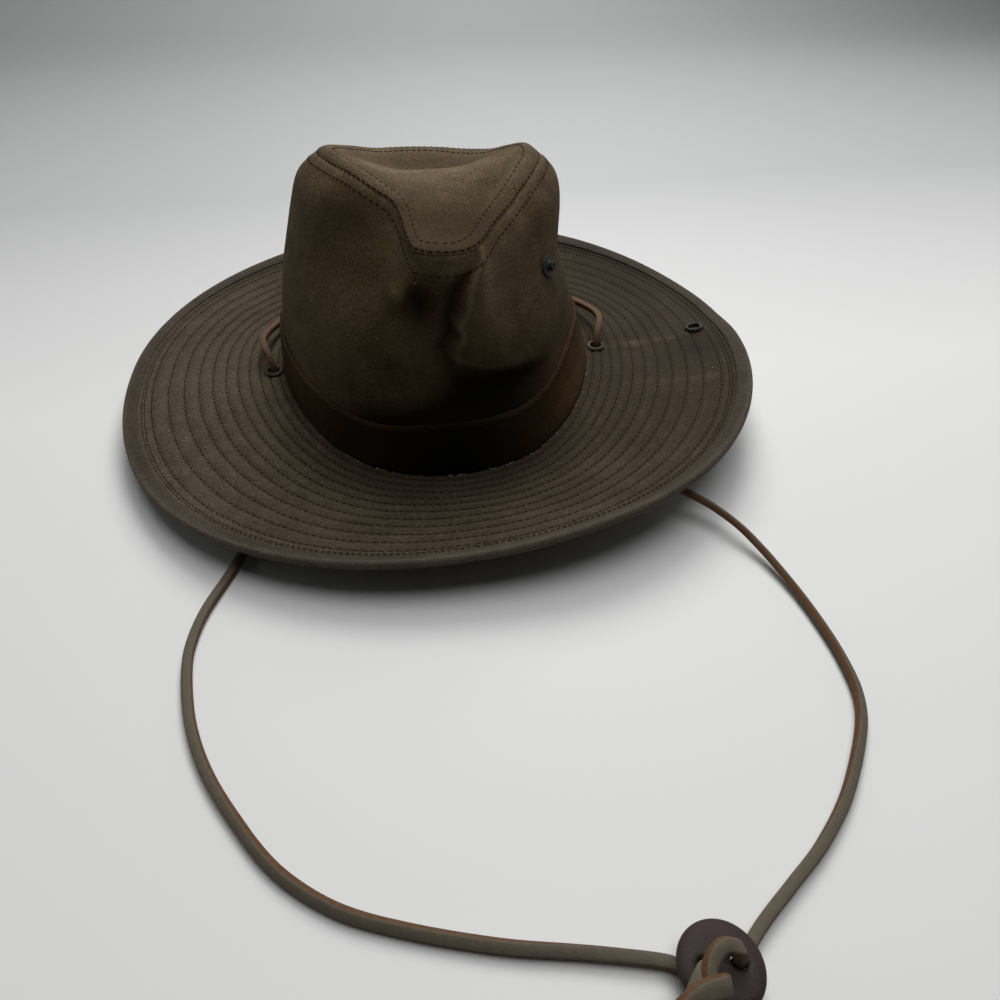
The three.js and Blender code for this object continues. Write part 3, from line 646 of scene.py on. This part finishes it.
leathers = dict(
    laceLeather=dict(face=(0.118, 0.098, 0.070, 1), side=(0.105, 0.045, 0.017, 1), grain=1400.0,
                     rough=0.75, bump=0.5),
    toggleLeather=dict(face=(0.036, 0.022, 0.020, 1), side=(0.035, 0.018, 0.013, 1), grain=700.0,
                       rough=0.62, bump=0.5),
)


def leatherMaterial(name):
    look = leathers[name]
    material, tree, shader, place = newMaterial(name)
    grain = useGroup(tree, grainGroup, Place=place, Scale=look["grain"])
    # the broad faces are suede, the cut sides show the dyed leather
    toneAndPaintedLight = addNode(tree, "Attribute", attribute_name="toneAndPaintedLight").outputs["Fac"]
    base = mixColour(tree, toneAndPaintedLight, look["face"], look["side"])
    bright = tuple(min(1, c * 2.2) for c in look["face"][:3]) + (1,)
    rub = grain.outputs["Rub"]
    feed(tree, shader, {
        "Base Color": mixColour(tree, mathNode(tree, "MULTIPLY", rub, 0.22), base, bright),
        "Roughness": mathNode(tree, "MULTIPLY_ADD", rub, 0.12, look["rough"]), "Specular IOR Level": 0.25,
        "Normal": bumpNode(tree, look["bump"], 0.0003, grain.outputs["Height"])})
    return material


metals = dict(
    agedBrass=dict(clean=(0.072, 0.048, 0.025, 1), stain=(0.030, 0.020, 0.011, 1),
                   metallic=0.3, rough=0.6),
    snapPaint=dict(clean=(0.018, 0.024, 0.019, 1), stain=(0.006, 0.008, 0.006, 1),
                   metallic=0.1, rough=0.55),
)


def metalMaterial(name):
    look = metals[name]
    material, tree, shader, place = newMaterial(name)
    stain = noiseNode(tree, place, 650.0, 5.0, roughness=0.7)
    share = spreadNode(tree, stain, 0.4, 0.62)
    feed(tree, shader, {"Base Color": mixColour(tree, share, look["clean"], look["stain"]),
                        "Roughness": mathNode(tree, "MULTIPLY_ADD", share, 0.3, look["rough"]),
                        "Metallic": look["metallic"], "Normal": bumpNode(tree, 0.3, 0.0002, stain)})
    return material


crownCloth, brimCloth, bandCloth, bindingCloth = (clothMaterial(name) for name in cloths)
laceLeather, toggleLeather = (leatherMaterial(name) for name in leathers)
agedBrass, snapPaint = (metalMaterial(name) for name in metals)
darkThread = threadMaterial("darkThread", (0.016, 0.009, 0.005, 1))
fluff = threadMaterial("fluff", (0.34, 0.30, 0.25, 1))
print("materials made")


# the three stretches of lace
def makeLace(name, node, route, far, twist=None, dyed=0):
    line = smoothRoute(route, lace["steps"])
    piece = laceTube(name, line, lace["width"], lace["depth"], twist, dyed)
    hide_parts(node)
    return piece, line, far


def slowTwist(turns, start):
    return lambda share: start + 0.45 * math.sin(2 * math.pi * turns * share)


laces = [
    makeLace("laceLeft", "lace_left", laceLeftRoute, "knot", slowTwist(2.2, 0.35)),
    makeLace("laceRight", "lace_right", laceRightRoute, "knot", slowTwist(1.8, -0.4)),
    makeLace("laceBack", "lace_back", laceBackRoute, "object", dyed=0.8),
]
print("laces laid")

# crown: the grid's steps, and how its edge is folded and sewn
crown = dict(around=330, rows=92, tipRows=58, edgeRound=0.0009, lap=0.0004, flat=(0.54, 0.11),
             tipInsets=(0.0014, 0.0100))
rimRows = tableOf("up angle", [
    (0.5, -87.6), (0.59, -87.3), (0.65, -85.5), (0.7, -86.1), (0.75, -84.1), (0.81, -83.4),
    (0.88, -81.2), (0.94, -78),
])


def wallWearAndPaintedLight(turn, rise):
    # negative where shade is painted in: the front, low down, in the pocket and under the left seam
    angle = stationAngle(turn)
    toneAndPaintedLight = 0.4 * bell(rise - 1, 0.02) + 0.16 * bell(rise - 0.92, 0.05)
    toneAndPaintedLight += 0.3 * near(angle, -76, 2.2) * smoothStep(0.6, 0.8, rise)
    toneAndPaintedLight += 0.1 * near(angle, 235, 22) * bell(rise - 0.62, 0.25)
    # the crease's rim gets a painted highlight, the cloth beside it and under the lip gets painted shade
    rim = angleApart(angle, alongRows(rimRows, "up", "angle", rise))
    inPocket = smoothStep(0.5, 0.62, rise) * smoothStep(0.95, 0.88, rise)
    broken = 0.6 + 0.8 * noise.noise(Vector((rise * 26, 0, 7)))
    toneAndPaintedLight += inPocket * (0.5 * broken * bell(rim, 0.9) - 0.6 * bell(rim + 3.6, 2.2))
    toneAndPaintedLight -= 0.75 * near(angle, -98, 3.6) * bell(rise - 0.755, 0.065)
    # painted light on the pocket's floor below the lip
    toneAndPaintedLight += 0.2 * near(angle, -99, 5) * bell(rise - 0.56, 0.09)
    toneAndPaintedLight += 0.12 * near(angle, -62, 24) * smoothStep(0.3, 0.5, rise)
    toneAndPaintedLight += 0.2 * near(angle, 212, 26) * smoothStep(0.7, 0.35, rise)
    # painted shadow: a dark V under the bulges at the lower front
    away = angleApart(angle, -86)
    top = 0.46 + 0.0045 * min(0, away)
    paintedShade = smoothStep(-38, -27, away) * smoothStep(42, 12, away) * smoothStep(top, top - 0.12, rise)
    # painted shade under the overhanging seam on the left
    toneAndPaintedLight -= 0.3 * near(angle, 226, 20) * bell(rise - 0.86, 0.12)
    return toneAndPaintedLight - paintedShade


def wallPlace(turn, rise):
    angle = stationAngle(turn)
    point = wallPoint(angle, rise)
    # the top edge is folded in, so it rounds over
    fold = smoothStep(0.985, 1, rise)
    return point + (seamPoint(angle, crown["edgeRound"]) - wallPoint(angle, 1)) * fold


work = clothGrid(crown["around"], crown["rows"], wallPlace, wallWearAndPaintedLight)
scaleMap(work, *crown["flat"])
crownWall = finishMesh("crownWall", work, crownCloth)
thicken(crownWall, hat["clothThickness"])
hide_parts("crown_wall")


def tipLook(angle, inward):
    # the tip's edge is laid over the top of the wall
    point = tipPoint(angle, inward)
    rim = smoothStep(0.09, 0, inward)
    point.xy = point.xy.lerp(seamPoint(angle, -crown["lap"]).xy * (1 - inward), rim)
    point.z += 0.0006 * rim - 0.0011 * bell(inward, 0.014)
    return point


def tipPlace(turn, rise):
    return tipLook(stationAngle(turn), rise ** 1.6)


def wearOfTip(turn, rise):
    # rubbed along the round edge, lighter over the saddle, darker towards the front
    angle, inward = stationAngle(turn), rise ** 1.6
    point = tipLook(angle, inward)
    crest = bell(point.y - 0.002, 0.02) * smoothStep(0.1, 0.5, inward)
    front = smoothStep(-0.02, -0.06, point.y)
    return 0.36 * bell(inward - 0.12, 0.09) * (1 - front) + 0.6 * crest + 0.12 - 0.28 * front


work = clothGrid(crown["around"], crown["tipRows"], tipPlace, wearOfTip)
flatMap(work)
crownTip = finishMesh("crownTip", work, crownCloth)
thicken(crownTip, hat["clothThickness"])
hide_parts("crown_tip")
print("crown shaped")

# band: the grid's rows, its cloth in metres and the row of stitches
strip = dict(rows=20, flat=(0.57, 0.025), stitchRow=0.9)


def bandPoint(angle, rise):
    low = footHeight(angle)
    foot = brimPoint(angle, 0).z + hat["clearance"]
    height = foot + (hat["bandHeight"] - foot + low) * rise
    share = (height - low) / (seamHeight(angle) - low)
    normal = surfaceNormal(wallPoint, angle, max(0.02, share))
    rounded = hat["bandThickness"] * (1 - 0.75 * smoothStep(0.9, 1, rise))
    seat = wallPoint(angle, share)
    pucker = 0.0003 * noise.noise(Vector((seat.x * 90, seat.y * 90, rise * 1.2)))
    return seat + normal * (hat["bandGap"] + rounded + pucker)


def bandWearAndPaintedShade(turn, rise):
    angle = stationAngle(turn)
    # lighter along the top edge; painted shade darkens the front
    return 0.15 * bell(rise - 0.98, 0.03) - near(angle, -90, 30) + 0.12 * near(angle, 222, 14)


work = clothGrid(crown["around"], strip["rows"],
                 lambda turn, rise: bandPoint(stationAngle(turn), rise), bandWearAndPaintedShade)
scaleMap(work, *strip["flat"])
band = finishMesh("band", work, bandCloth)
thicken(band, hat["bandThickness"] * 0.8)
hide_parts("band")

# brim: rows of stitching sink into it
brim = dict(around=300, rows=118, firstRow=0.0044, firstGap=0.0048, gapGrowth=0.00038, rowCount=11,
            rowsWide=0.082, doubleInset=(0.0090, 0.0076), bindingWide=0.0058,
            grooveDepth=0.0005, grooveWidth=0.0012, eyelet=(0.088, -0.016), holeRadius=0.0032)


def brimRows():
    # shares of the brim's width
    reach, rows = brim["firstRow"], []
    for i in range(brim["rowCount"]):
        rows.append(reach / brim["rowsWide"])
        reach += brim["firstGap"] + brim["gapGrowth"] * i
    return rows


stitchRows = brimRows()


def brimWide(angle):
    inner, outer = brimReach(angle)
    return outer - inner


def rowNear(angle, rise, spread, beside=0):
    return sum(bell((rise - row) * brimWide(angle) - beside, spread) for row in stitchRows)


def brimLook(angle, rise):
    point = brimPoint(angle, rise)
    groove = rowNear(angle, rise, brim["grooveWidth"])
    groove += bell((1 - rise) * brimWide(angle) - sum(brim["doubleInset"]) / 2, brim["grooveWidth"] * 1.4)
    swell = noise.noise(Vector((point.x * 48, point.y * 48, 0.3)))
    pucker = noise.noise(Vector((point.x * 210, point.y * 210, 1.7)))
    fade = smoothStep(0.95, 0.8, rise)
    point.z += (0.0006 * swell + 0.00028 * pucker) * fade
    point.z -= brim["grooveDepth"] * groove * (0.8 + 0.5 * swell)
    bent = angleApart(angle, creaseAngle(rise)) * math.pi / 180 * point.xy.length
    crease = 0.0007 * bell(bent, 0.0016) - 0.0006 * smoothStep(0, -0.006, bent) * bell(bent, 0.02)
    point.z += fade * smoothStep(0.08, 0.25, rise) * crease
    return point


def creaseAngle(rise):
    # where the brim has been folded again and again, from the eyelet to the snap
    return -11.6 + 4.6 * rise + 0.5 * math.sin(9 * rise)


def brimWearAndPaintedLight(turn, rise):
    angle = stationAngle(turn)
    reach = brimReach(angle)
    away = angleApart(angle, creaseAngle(rise)) * math.pi / 180 * mix(*reach, rise)
    crease = bell(away, 0.0012) * smoothStep(0.1, 0.2, rise) * smoothStep(1, 0.8, rise)
    scuff = bell(away, 0.0018) * bell(rise - 0.36, 0.07)
    second = near(angle, -29 + 3 * rise, 1.1) * smoothStep(0.2, 0.4, rise)
    left = near(angle, 200, 45) * 0.2
    # painted shade on the brim's front next to the crown, standing in for the crown's shadow
    paintedShade = 0.55 * near(angle, -92, 32) * smoothStep(0.42, 0.0, rise)
    blotch = 0.35 * near(angle, -15, 6) * bell(rise - 0.75, 0.13)
    # painted shade along the stitch grooves, and a painted highlight on the ridges beside them
    rows = rowNear(angle, rise, 0.0009) - 0.5 * rowNear(angle, rise, 0.0012, 0.0024)
    right = 0.3 * near(angle, 15, 60)
    return (0.4 * crease + 0.7 * scuff + 0.16 * second + left + 0.1 * bell(rise - 0.97, 0.03)
            + 0.06 - 0.16 * rows - paintedShade - blotch - right)


work = clothGrid(brim["around"], brim["rows"], lambda turn, rise: brimLook(stationAngle(turn), rise),
                 brimWearAndPaintedLight)
for side in (-1, 1):
    centre = Vector((side * brim["eyelet"][0], brim["eyelet"][1]))
    inHole = [face for face in work.faces
              if (face.calc_center_median().xy - centre).length < brim["holeRadius"]]
    bmesh.ops.delete(work, geom=inHole, context="FACES")
bmesh.ops.recalc_face_normals(work, faces=work.faces)
flatMap(work)
if next(iter(work.faces)).normal.z < 0:
    bmesh.ops.reverse_faces(work, faces=work.faces)
brimPiece = finishMesh("brim", work, brimCloth)
thicken(brimPiece, hat["brimThickness"])
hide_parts("brim")
print("brim stitched")

# binding: folded over the edge
folded = dict(rows=40, flat=(1.05, 0.022), share=0.35)


def bindingPlace(turn, rise):
    angle, fold = stationAngle(turn), folded["share"]
    half = hat["brimThickness"] / 2 + hat["clearance"] + hat["bindingThickness"] * 0.6
    edge = brimPoint(angle, 1)
    normal = -surfaceNormal(brimPoint, angle, 0.99)
    outward = (edge - brimPoint(angle, 0.98)).normalized()
    middle = edge - normal * hat["brimThickness"] / 2
    if rise < fold or rise > 1 - fold:
        # flat over the brim, or under it
        over = rise < fold
        share = (1 - rise / fold) if over else (rise - 1 + fold) / fold
        out = 1 - brim["bindingWide"] * share / brimWide(angle)
        lift = (mix(0.0004, half - hat["brimThickness"] / 2, smoothStep(0, 0.06, rise)) if over
                else -half - hat["brimThickness"] / 2)
        return brimPoint(angle, out) - surfaceNormal(brimPoint, angle, min(0.99, out)) * lift
    swing = math.pi * (rise - fold) / (1 - 2 * fold)
    nose = hat["clearance"] + hat["bindingThickness"]
    return middle + normal * half * math.cos(swing) + outward * nose * math.sin(swing)


work = clothGrid(crown["around"], folded["rows"], bindingPlace,
                 lambda turn, rise: 0.45 * bell(rise - 0.42, 0.12))
scaleMap(work, *folded["flat"])
bmesh.ops.reverse_faces(work, faces=work.faces)
binding = finishMesh("edgeBinding", work, bindingCloth)
thicken(binding, hat["bindingThickness"] * 0.55)
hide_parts("edge_binding")
print("edge bound")

# stitches: each one a small lens of thread
brimStitch = dict(pitch=0.0034, length=0.0027, width=0.00048, height=0.00045)
doubleStitch = dict(brimStitch, pitch=brimStitch["pitch"] * 0.75, length=brimStitch["length"] * 0.8)
topStitch = dict(pitch=0.0033, length=0.0026, width=0.0006, height=0.0006)
bandStitch = dict(pitch=0.0028, length=0.0021, width=0.0004, height=0.0004)


def oneStitch():
    work = bmesh.new()
    bmesh.ops.create_icosphere(work, subdivisions=1, radius=0.5)
    mesh = bpy.data.meshes.new("stitchShape")
    work.to_mesh(mesh)
    work.free()
    return mesh


stitchShape = oneStitch()


def stampStitch(work, point, ahead, side, up):
    # ahead, side and up give the size of this one
    place = Matrix((ahead, side, up)).transposed().to_4x4()
    place.translation = point
    count = len(work.verts)
    work.from_mesh(stitchShape)
    work.verts.ensure_lookup_table()
    bmesh.ops.transform(work, matrix=place, verts=work.verts[count:])


def sewAlong(work, line, normals, length, pitch, width, height, waver=0.12):
    # walks the line and lays a stitch at each pitch
    travelled, wanted = 0, pitch / 2
    for i in range(len(line) - 1):
        step = line[i + 1] - line[i]
        while step.length > 0 and travelled + step.length >= wanted:
            centre = line[i].lerp(line[i + 1], (wanted - travelled) / step.length)
            ahead = step.normalized()
            ahead.rotate(Matrix.Rotation(waver * chance.uniform(-1, 1), 3, normals[i]))
            side = normals[i].cross(ahead).normalized()
            stampStitch(work, centre, ahead * length * chance.uniform(0.9, 1.08), side * width,
                        normals[i] * height)
            wanted += pitch * chance.uniform(0.95, 1.05)
        travelled += step.length


def sewRing(work, pointAt, shareAt, sizes, count=720, lift=0.0001):
    # a ring of stitches, a hair above the cloth
    line, normals = [], []
    for i in range(count + 1):
        angle = 360 * i / count - 90
        share = shareAt(angle)
        normal = surfaceNormal(pointAt, angle, share)
        if pointAt in (tipLook, brimLook) and normal.z < 0:
            normal = -normal
        normals.append(normal)
        line.append(pointAt(angle, share) + normal * lift)
    sewAlong(work, line, normals, **sizes)


# how far below the tip's seam the wall is sewn
wallRows = tableOf("angle length", [
    (-104, 0.0085), (-97, 0.0098), (-84, 0.0098), (-72, 0.0072), (-55, 0.0055), (-20, 0.005),
    (60, 0.006), (150, 0.006), (200, 0.005), (240, 0.005), (250, 0.0065),
])


def downOrIn(pointAt, angle, start, step, length):
    # the share at which the cloth has run this length from the seam
    share, gone = start, 0
    here = pointAt(angle, share)
    while gone < length:
        there = pointAt(angle, share + step)
        span = (there - here).length
        if gone + span >= length:
            return share + step * (length - gone) / span
        share, gone, here = share + step, gone + span, there
    return share


work = bmesh.new()
for row in stitchRows:
    sewRing(work, brimLook, lambda angle: row, brimStitch)
for inset in brim["doubleInset"]:
    sewRing(work, brimLook, lambda angle: 1 - inset / brimWide(angle), doubleStitch)
brimStitches = finishMesh("brimStitches", work, darkThread)


def wallRow(angle):
    return downOrIn(wallPoint, angle, 1, -0.006, alongRows(wallRows, "angle", "length", angle, True))


work = bmesh.new()
for inset in crown["tipInsets"]:
    sewRing(work, tipLook, lambda angle: downOrIn(tipLook, angle, 0, 0.012, inset), topStitch)
sewRing(work, wallPoint, wallRow, topStitch)
sewRing(work, bandPoint, lambda angle: strip["stitchRow"], bandStitch)
crownStitches = finishMesh("crownStitches", work, darkThread)
print("stitches sewn")

# lint along the band's foot, and a few bits elsewhere
frayed = dict(bits=150, first=-128, last=-22, length=0.0022, width=0.00022)


def strew(work, point, normal, length, width):
    ahead = normal.orthogonal().normalized()
    ahead.rotate(Matrix.Rotation(chance.uniform(0, 6.28), 3, normal))
    ahead = (ahead + normal * chance.uniform(-0.1, 0.5)).normalized()
    side = normal.cross(ahead).normalized()
    stampStitch(work, point, ahead * length, side * width, normal * width)


work = bmesh.new()
for k in range(frayed["bits"]):
    angle = chance.uniform(frayed["first"], frayed["last"])
    if noise.noise(Vector((angle * 0.16, 4, 0))) > -0.05:
        share = chance.uniform(0.012, 0.03)
        strew(work, brimLook(angle, share) + Vector((0, 0, 0.0004)), Vector((0, 0, 1)),
              frayed["length"] * chance.uniform(0.5, 1.3), frayed["width"])
for angle, share in ((-147, 0.62), (-122, 0.3), (-60, 0.55), (-24, 0.8)):
    strew(work, brimLook(angle, share) + Vector((0, 0, 0.0004)), Vector((0, 0, 1)), 0.0018, 0.0005)
for angle, share in ((-110.5, 0.6), (-99, 0.87)):
    strew(work, wallPoint(angle, share) + surfaceNormal(wallPoint, angle, share) * 0.0003,
          surfaceNormal(wallPoint, angle, share), 0.0011, 0.0007)
lint = finishMesh("lint", work, fluff)


def spinShape(outline, steps):
    work = bmesh.new()
    verts = [work.verts.new((r, 0, z)) for r, z in outline]
    edges = [work.edges.new(pair) for pair in zip(verts, verts[1:])]
    bmesh.ops.spin(work, geom=verts + edges, cent=(0, 0, 0), axis=(0, 0, 1), angle=2 * math.pi,
                   steps=steps, use_merge=True)
    bmesh.ops.remove_doubles(work, verts=work.verts, dist=1e-6)
    bmesh.ops.recalc_face_normals(work, faces=work.faces)
    return work


def spinPiece(name, outline, place, normal, material, node):
    work = spinShape(outline + outline[:1], 48)
    turn = Vector((0, 0, 1)).rotation_difference(normal).to_matrix().to_4x4()
    turn.translation = place
    bmesh.ops.transform(work, matrix=turn, verts=work.verts)
    piece = finishMesh(name, work, material)
    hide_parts(node)
    return piece


def roundedOutline(corners, radius, steps=4):
    # corners of a closed outline, each rounded by a short arc
    outline = []
    count = len(corners)
    for i in range(count):
        before, here, after = (Vector(corners[(i + k) % count]) for k in (-1, 0, 1))
        if here.x < 1e-6:
            outline.append(tuple(here))
            continue
        r = min(radius, (before - here).length * 0.45, (after - here).length * 0.45)
        a = here + (before - here).normalized() * r
        b = here + (after - here).normalized() * r
        for s in range(steps + 1):
            t = s / steps
            outline.append(tuple((a * (1 - t) ** 2) + here * 2 * t * (1 - t) + b * t * t))
    return outline


def brimSeat(side, fore):
    angle = math.degrees(math.atan2(fore, side))
    inner, outer = brimReach(angle)
    out = (math.hypot(side, fore) - inner) / (outer - inner)
    return brimPoint(angle, out), -surfaceNormal(brimPoint, angle, out)


eyelet = dict(bore=0.00296, flange=0.0054, top=0.0011, under=-0.0029, thick=0.0008)
bore, flange, top, under, thick = (eyelet[key] for key in ("bore", "flange", "top", "under", "thick"))
for side, name in ((-1, "Left"), (1, "Right")):
    seat, normal = brimSeat(side * brim["eyelet"][0], brim["eyelet"][1])
    corners = [(bore, under), (flange, under), (flange, under + thick), (bore + 0.0005, under + thick),
               (bore + 0.0005, 0.0003), (flange, 0.0001), (flange - 0.0008, top), (bore, top)]
    spinPiece("eyelet" + name, roundedOutline(corners, 0.0005), seat, normal, agedBrass,
              "eyelet_" + name.lower())

snap = dict(flange=0.0052, thick=0.0009, post=0.0024, postHeight=0.0026, studAngle=-44, studUp=0.7,
            socketWall=0.0022, socketHeight=0.0018, socketAngle=-6.5, socketInset=0.017)
studNormal = surfaceNormal(wallPoint, snap["studAngle"], snap["studUp"])
studPlace = wallPoint(snap["studAngle"], snap["studUp"]) + studNormal * hat["clearance"]
flange, thick, post, high = (snap[key] for key in ("flange", "thick", "post", "postHeight"))
top = thick + high
spinPiece("snapStud", roundedOutline([
    (0, 0), (flange, 0), (flange, thick * 0.6), (flange * 0.8, thick), (post * 1.05, thick),
    (post * 0.85, thick + high * 0.4), (post, thick + high * 0.8), (post * 0.7, top), (post * 0.35, top),
    (post * 0.3, top - 0.0006), (0, top - 0.0006)], 0.0003),
    studPlace, studNormal, snapPaint, "snap_stud")
socketEdge = brimPoint(snap["socketAngle"], 1).xy.length - snap["socketInset"]
seat, normal = brimSeat(*polar(socketEdge, snap["socketAngle"], 0).xy)
wall, high = snap["socketWall"], snap["socketHeight"]
bore = flange - wall
spinPiece("snapSocket", roundedOutline([
    (bore, 0), (flange, 0), (flange, high * 0.4), (flange - wall * 0.3, high), (bore + wall * 0.25, high),
    (bore, high * 0.6)], 0.0004),
    seat + normal * hat["clearance"], normal, snapPaint, "snap_socket")
print("fittings set")

# toggle and knot
toggle = dict(centre=(0.0425, -0.3205), radius=0.0113, thick=0.005, low=0.0058, holeGap=0.009, hole=0.0022,
              holeEdge=0.0004, sunk=0.86)


def makeToggle():
    half = toggle["thick"] / 2
    outline = [(0, -half * 0.8)] + [
        (toggle["radius"] * (0.1 + 0.9 * math.sin(t) ** 0.6),
         -half * math.cos(t) * (0.8 + 0.2 * math.sin(t)))
        for t in [math.pi * k / 18 for k in range(1, 18)]] + [(0, half * 0.8)]
    work = spinShape(outline, 72)
    bmesh.ops.subdivide_edges(work, edges=work.edges, cuts=1, use_grid_fill=True)
    for side in (-1, 1):
        centre = Vector((side * toggle["holeGap"] / 2, 0))
        inHole = [face for face in work.faces
                  if (face.calc_center_median().xy - centre).length < toggle["hole"] + toggle["holeEdge"]]
        bmesh.ops.delete(work, geom=inHole, context="FACES")
        rim = [edge for edge in work.edges if edge.is_boundary]
        for vert in {v for edge in rim for v in edge.verts}:
            away = vert.co.xy - centre
            vert.co.xy = centre + away.normalized() * toggle["hole"]
            vert.co.z *= toggle["sunk"]
        bmesh.ops.bridge_loops(work, edges=rim)
    bmesh.ops.recalc_face_normals(work, faces=work.faces)
    bmesh.ops.translate(work, verts=work.verts, vec=(*toggle["centre"], toggle["low"] + half))
    work.verts.layers.float.new("toneAndPaintedLight")
    piece = finishMesh("togglePiece", work, toggleLeather)
    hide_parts("toggle")
    return piece


slide = makeToggle()

knot = dict(centre=(0.0195, -0.343, 0.0043), heading=222, wraps=2.4, radius=0.0039, length=0.0085,
            tail=0.013, wrap=(0.0036, 0.0022), end=(0.0038, 0.003), over=(0.0048, 0.0032))


def makeKnot():
    # two turns of lace round the two ends, which stick out beyond it
    centre = Vector(knot["centre"])
    ahead = polar(1, knot["heading"], 0)
    side = Vector((-ahead.y, ahead.x, 0))
    upward = Vector((0, 0, 1))
    turns = []
    count = 60
    for i in range(count + 1):
        t = i / count
        a = 2 * math.pi * knot["wraps"] * t + 0.6
        swell = knot["radius"] * (1 + 0.1 * math.sin(math.pi * t))
        turns.append(centre + ahead * knot["length"] * (t - 0.5) + side * swell * math.cos(a)
                     + upward * swell * 0.72 * math.sin(a))
    wrap = laceTube("knotWrap", turns, *knot["wrap"])
    ends = []
    for name, spread in (("knotEndLong", -20), ("knotEndShort", 20)):
        way = polar(1, knot["heading"] + spread, 0)
        length = knot["tail"] * (1 if spread < 0 else 0.85)
        middle = centre - ahead * 0.004
        line = [middle + ahead * 0.008 * min(1, t * 2) + way * length * max(0, t - 0.3)
                + upward * (0.0006 * math.sin(3 * t) - 0.0018 * t) for t in [k / 14 for k in range(15)]]
        ends.append(laceTube(name, line, *knot["end"]))
    over = smoothRoute([(15, -341.5, 9), (20, -336.5, 14.5), (26, -331.5, 18.8), (32.5, -328.6, 20.6),
                        (39.5, -327.5, 19.2)], 5)
    ends.append(laceTube("knotEndOver", over, *knot["over"], lambda share: 0.6))
    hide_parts("lace_knot")
    return [wrap] + ends


knotPieces = makeKnot()
print("toggle and knot made")

# table, room and lamps
stage = dict(wide=7.0, front=-3.0, bend=0.95, bendRadius=0.6, wallTop=1.6, floor=(0.80, 0.805, 0.80, 1),
             floorBackPaintedShade=(0.52, 0.53, 0.535, 1), floorFarPaintedShade=(0.36, 0.37, 0.375, 1),
             worldColour=(0.85, 0.93, 1, 1), world=0.025, roomSeen=0.5)
lamps = [
    dict(name="behind", place=(0.28, 1.1, 1.3), aim=(0, 0, 0.03), size=0.95, power=19,
         colour=(1, 0.99, 0.97)),
    dict(name="overhead", place=(0.16, -0.04, 1.05), aim=(0, -0.02, 0), size=1.0, power=6.2),
    dict(name="leftWall", place=(-1.1, 0.2, 0.45), aim=(0, 0, 0.05), size=0.9, power=0.9),
    dict(name="rightWall", place=(1.1, 0.2, 0.45), aim=(0, 0, 0.05), size=0.9, power=1.0),
]


def makeStage():
    # a sheet of paper on the table, bent up behind the hat
    def paper(turn, rise):
        arc = stage["bendRadius"] * math.pi / 2
        gone = (rise * (stage["bend"] - stage["front"] + arc + stage["wallTop"])
                + stage["front"] - stage["bend"])
        bent = min(max(gone, 0), arc) / stage["bendRadius"]
        y = stage["bend"] + min(gone, 0) + stage["bendRadius"] * math.sin(bent)
        z = stage["bendRadius"] * (1 - math.cos(bent)) + max(gone - arc, 0)
        return Vector(((turn - 0.5) * stage["wide"], y, z))

    work = clothGrid(2, 240, paper, closed=False)
    material, tree, shader, place = newMaterial("tablePaint")
    # painted shade: the paper is a little greyer towards the back and darker far off, where less light
    # reaches
    depth = addNode(tree, "SeparateXYZ", {"Vector": place}).outputs["Y"]
    shade = mixColour(tree, spreadNode(tree, depth, -0.02, 0.32), stage["floor"], stage["floorBackPaintedShade"])
    shade = mixColour(tree, spreadNode(tree, depth, 0.3, 1.1), shade, stage["floorFarPaintedShade"])
    feed(tree, shader, {"Base Color": shade, "Roughness": 0.6})
    table = newObject("table", work, material)


def makeLight(name, place, aim, size, power, colour=(1, 1, 1)):
    data = bpy.data.lights.new(name, "AREA")
    data.shape = "DISK"
    data.size = size
    data.energy = power
    data.color = colour
    lamp = bpy.data.objects.new(name, data)
    lamp.location = place
    lamp.rotation_mode = "QUATERNION"
    lamp.rotation_quaternion = (Vector(aim) - Vector(place)).to_track_quat("-Z", "Y")
    bpy.context.scene.collection.objects.link(lamp)


makeStage()
for lamp in lamps:
    makeLight(**lamp)
world = bpy.data.worlds.new("room")
world.use_nodes = True
# beyond the paper the camera sees a pale room, whose light on the hat stays faint
seen = addNode(world.node_tree, "LightPath").outputs["Is Camera Ray"]
glow = mathNode(world.node_tree, "MULTIPLY_ADD", seen, stage["roomSeen"], stage["world"])
feed(world.node_tree, world.node_tree.nodes["Background"],
     {"Color": stage["worldColour"], "Strength": glow})
bpy.context.scene.world = world
bpy.context.scene.view_settings.view_transform = "Standard"
print("stage lit")
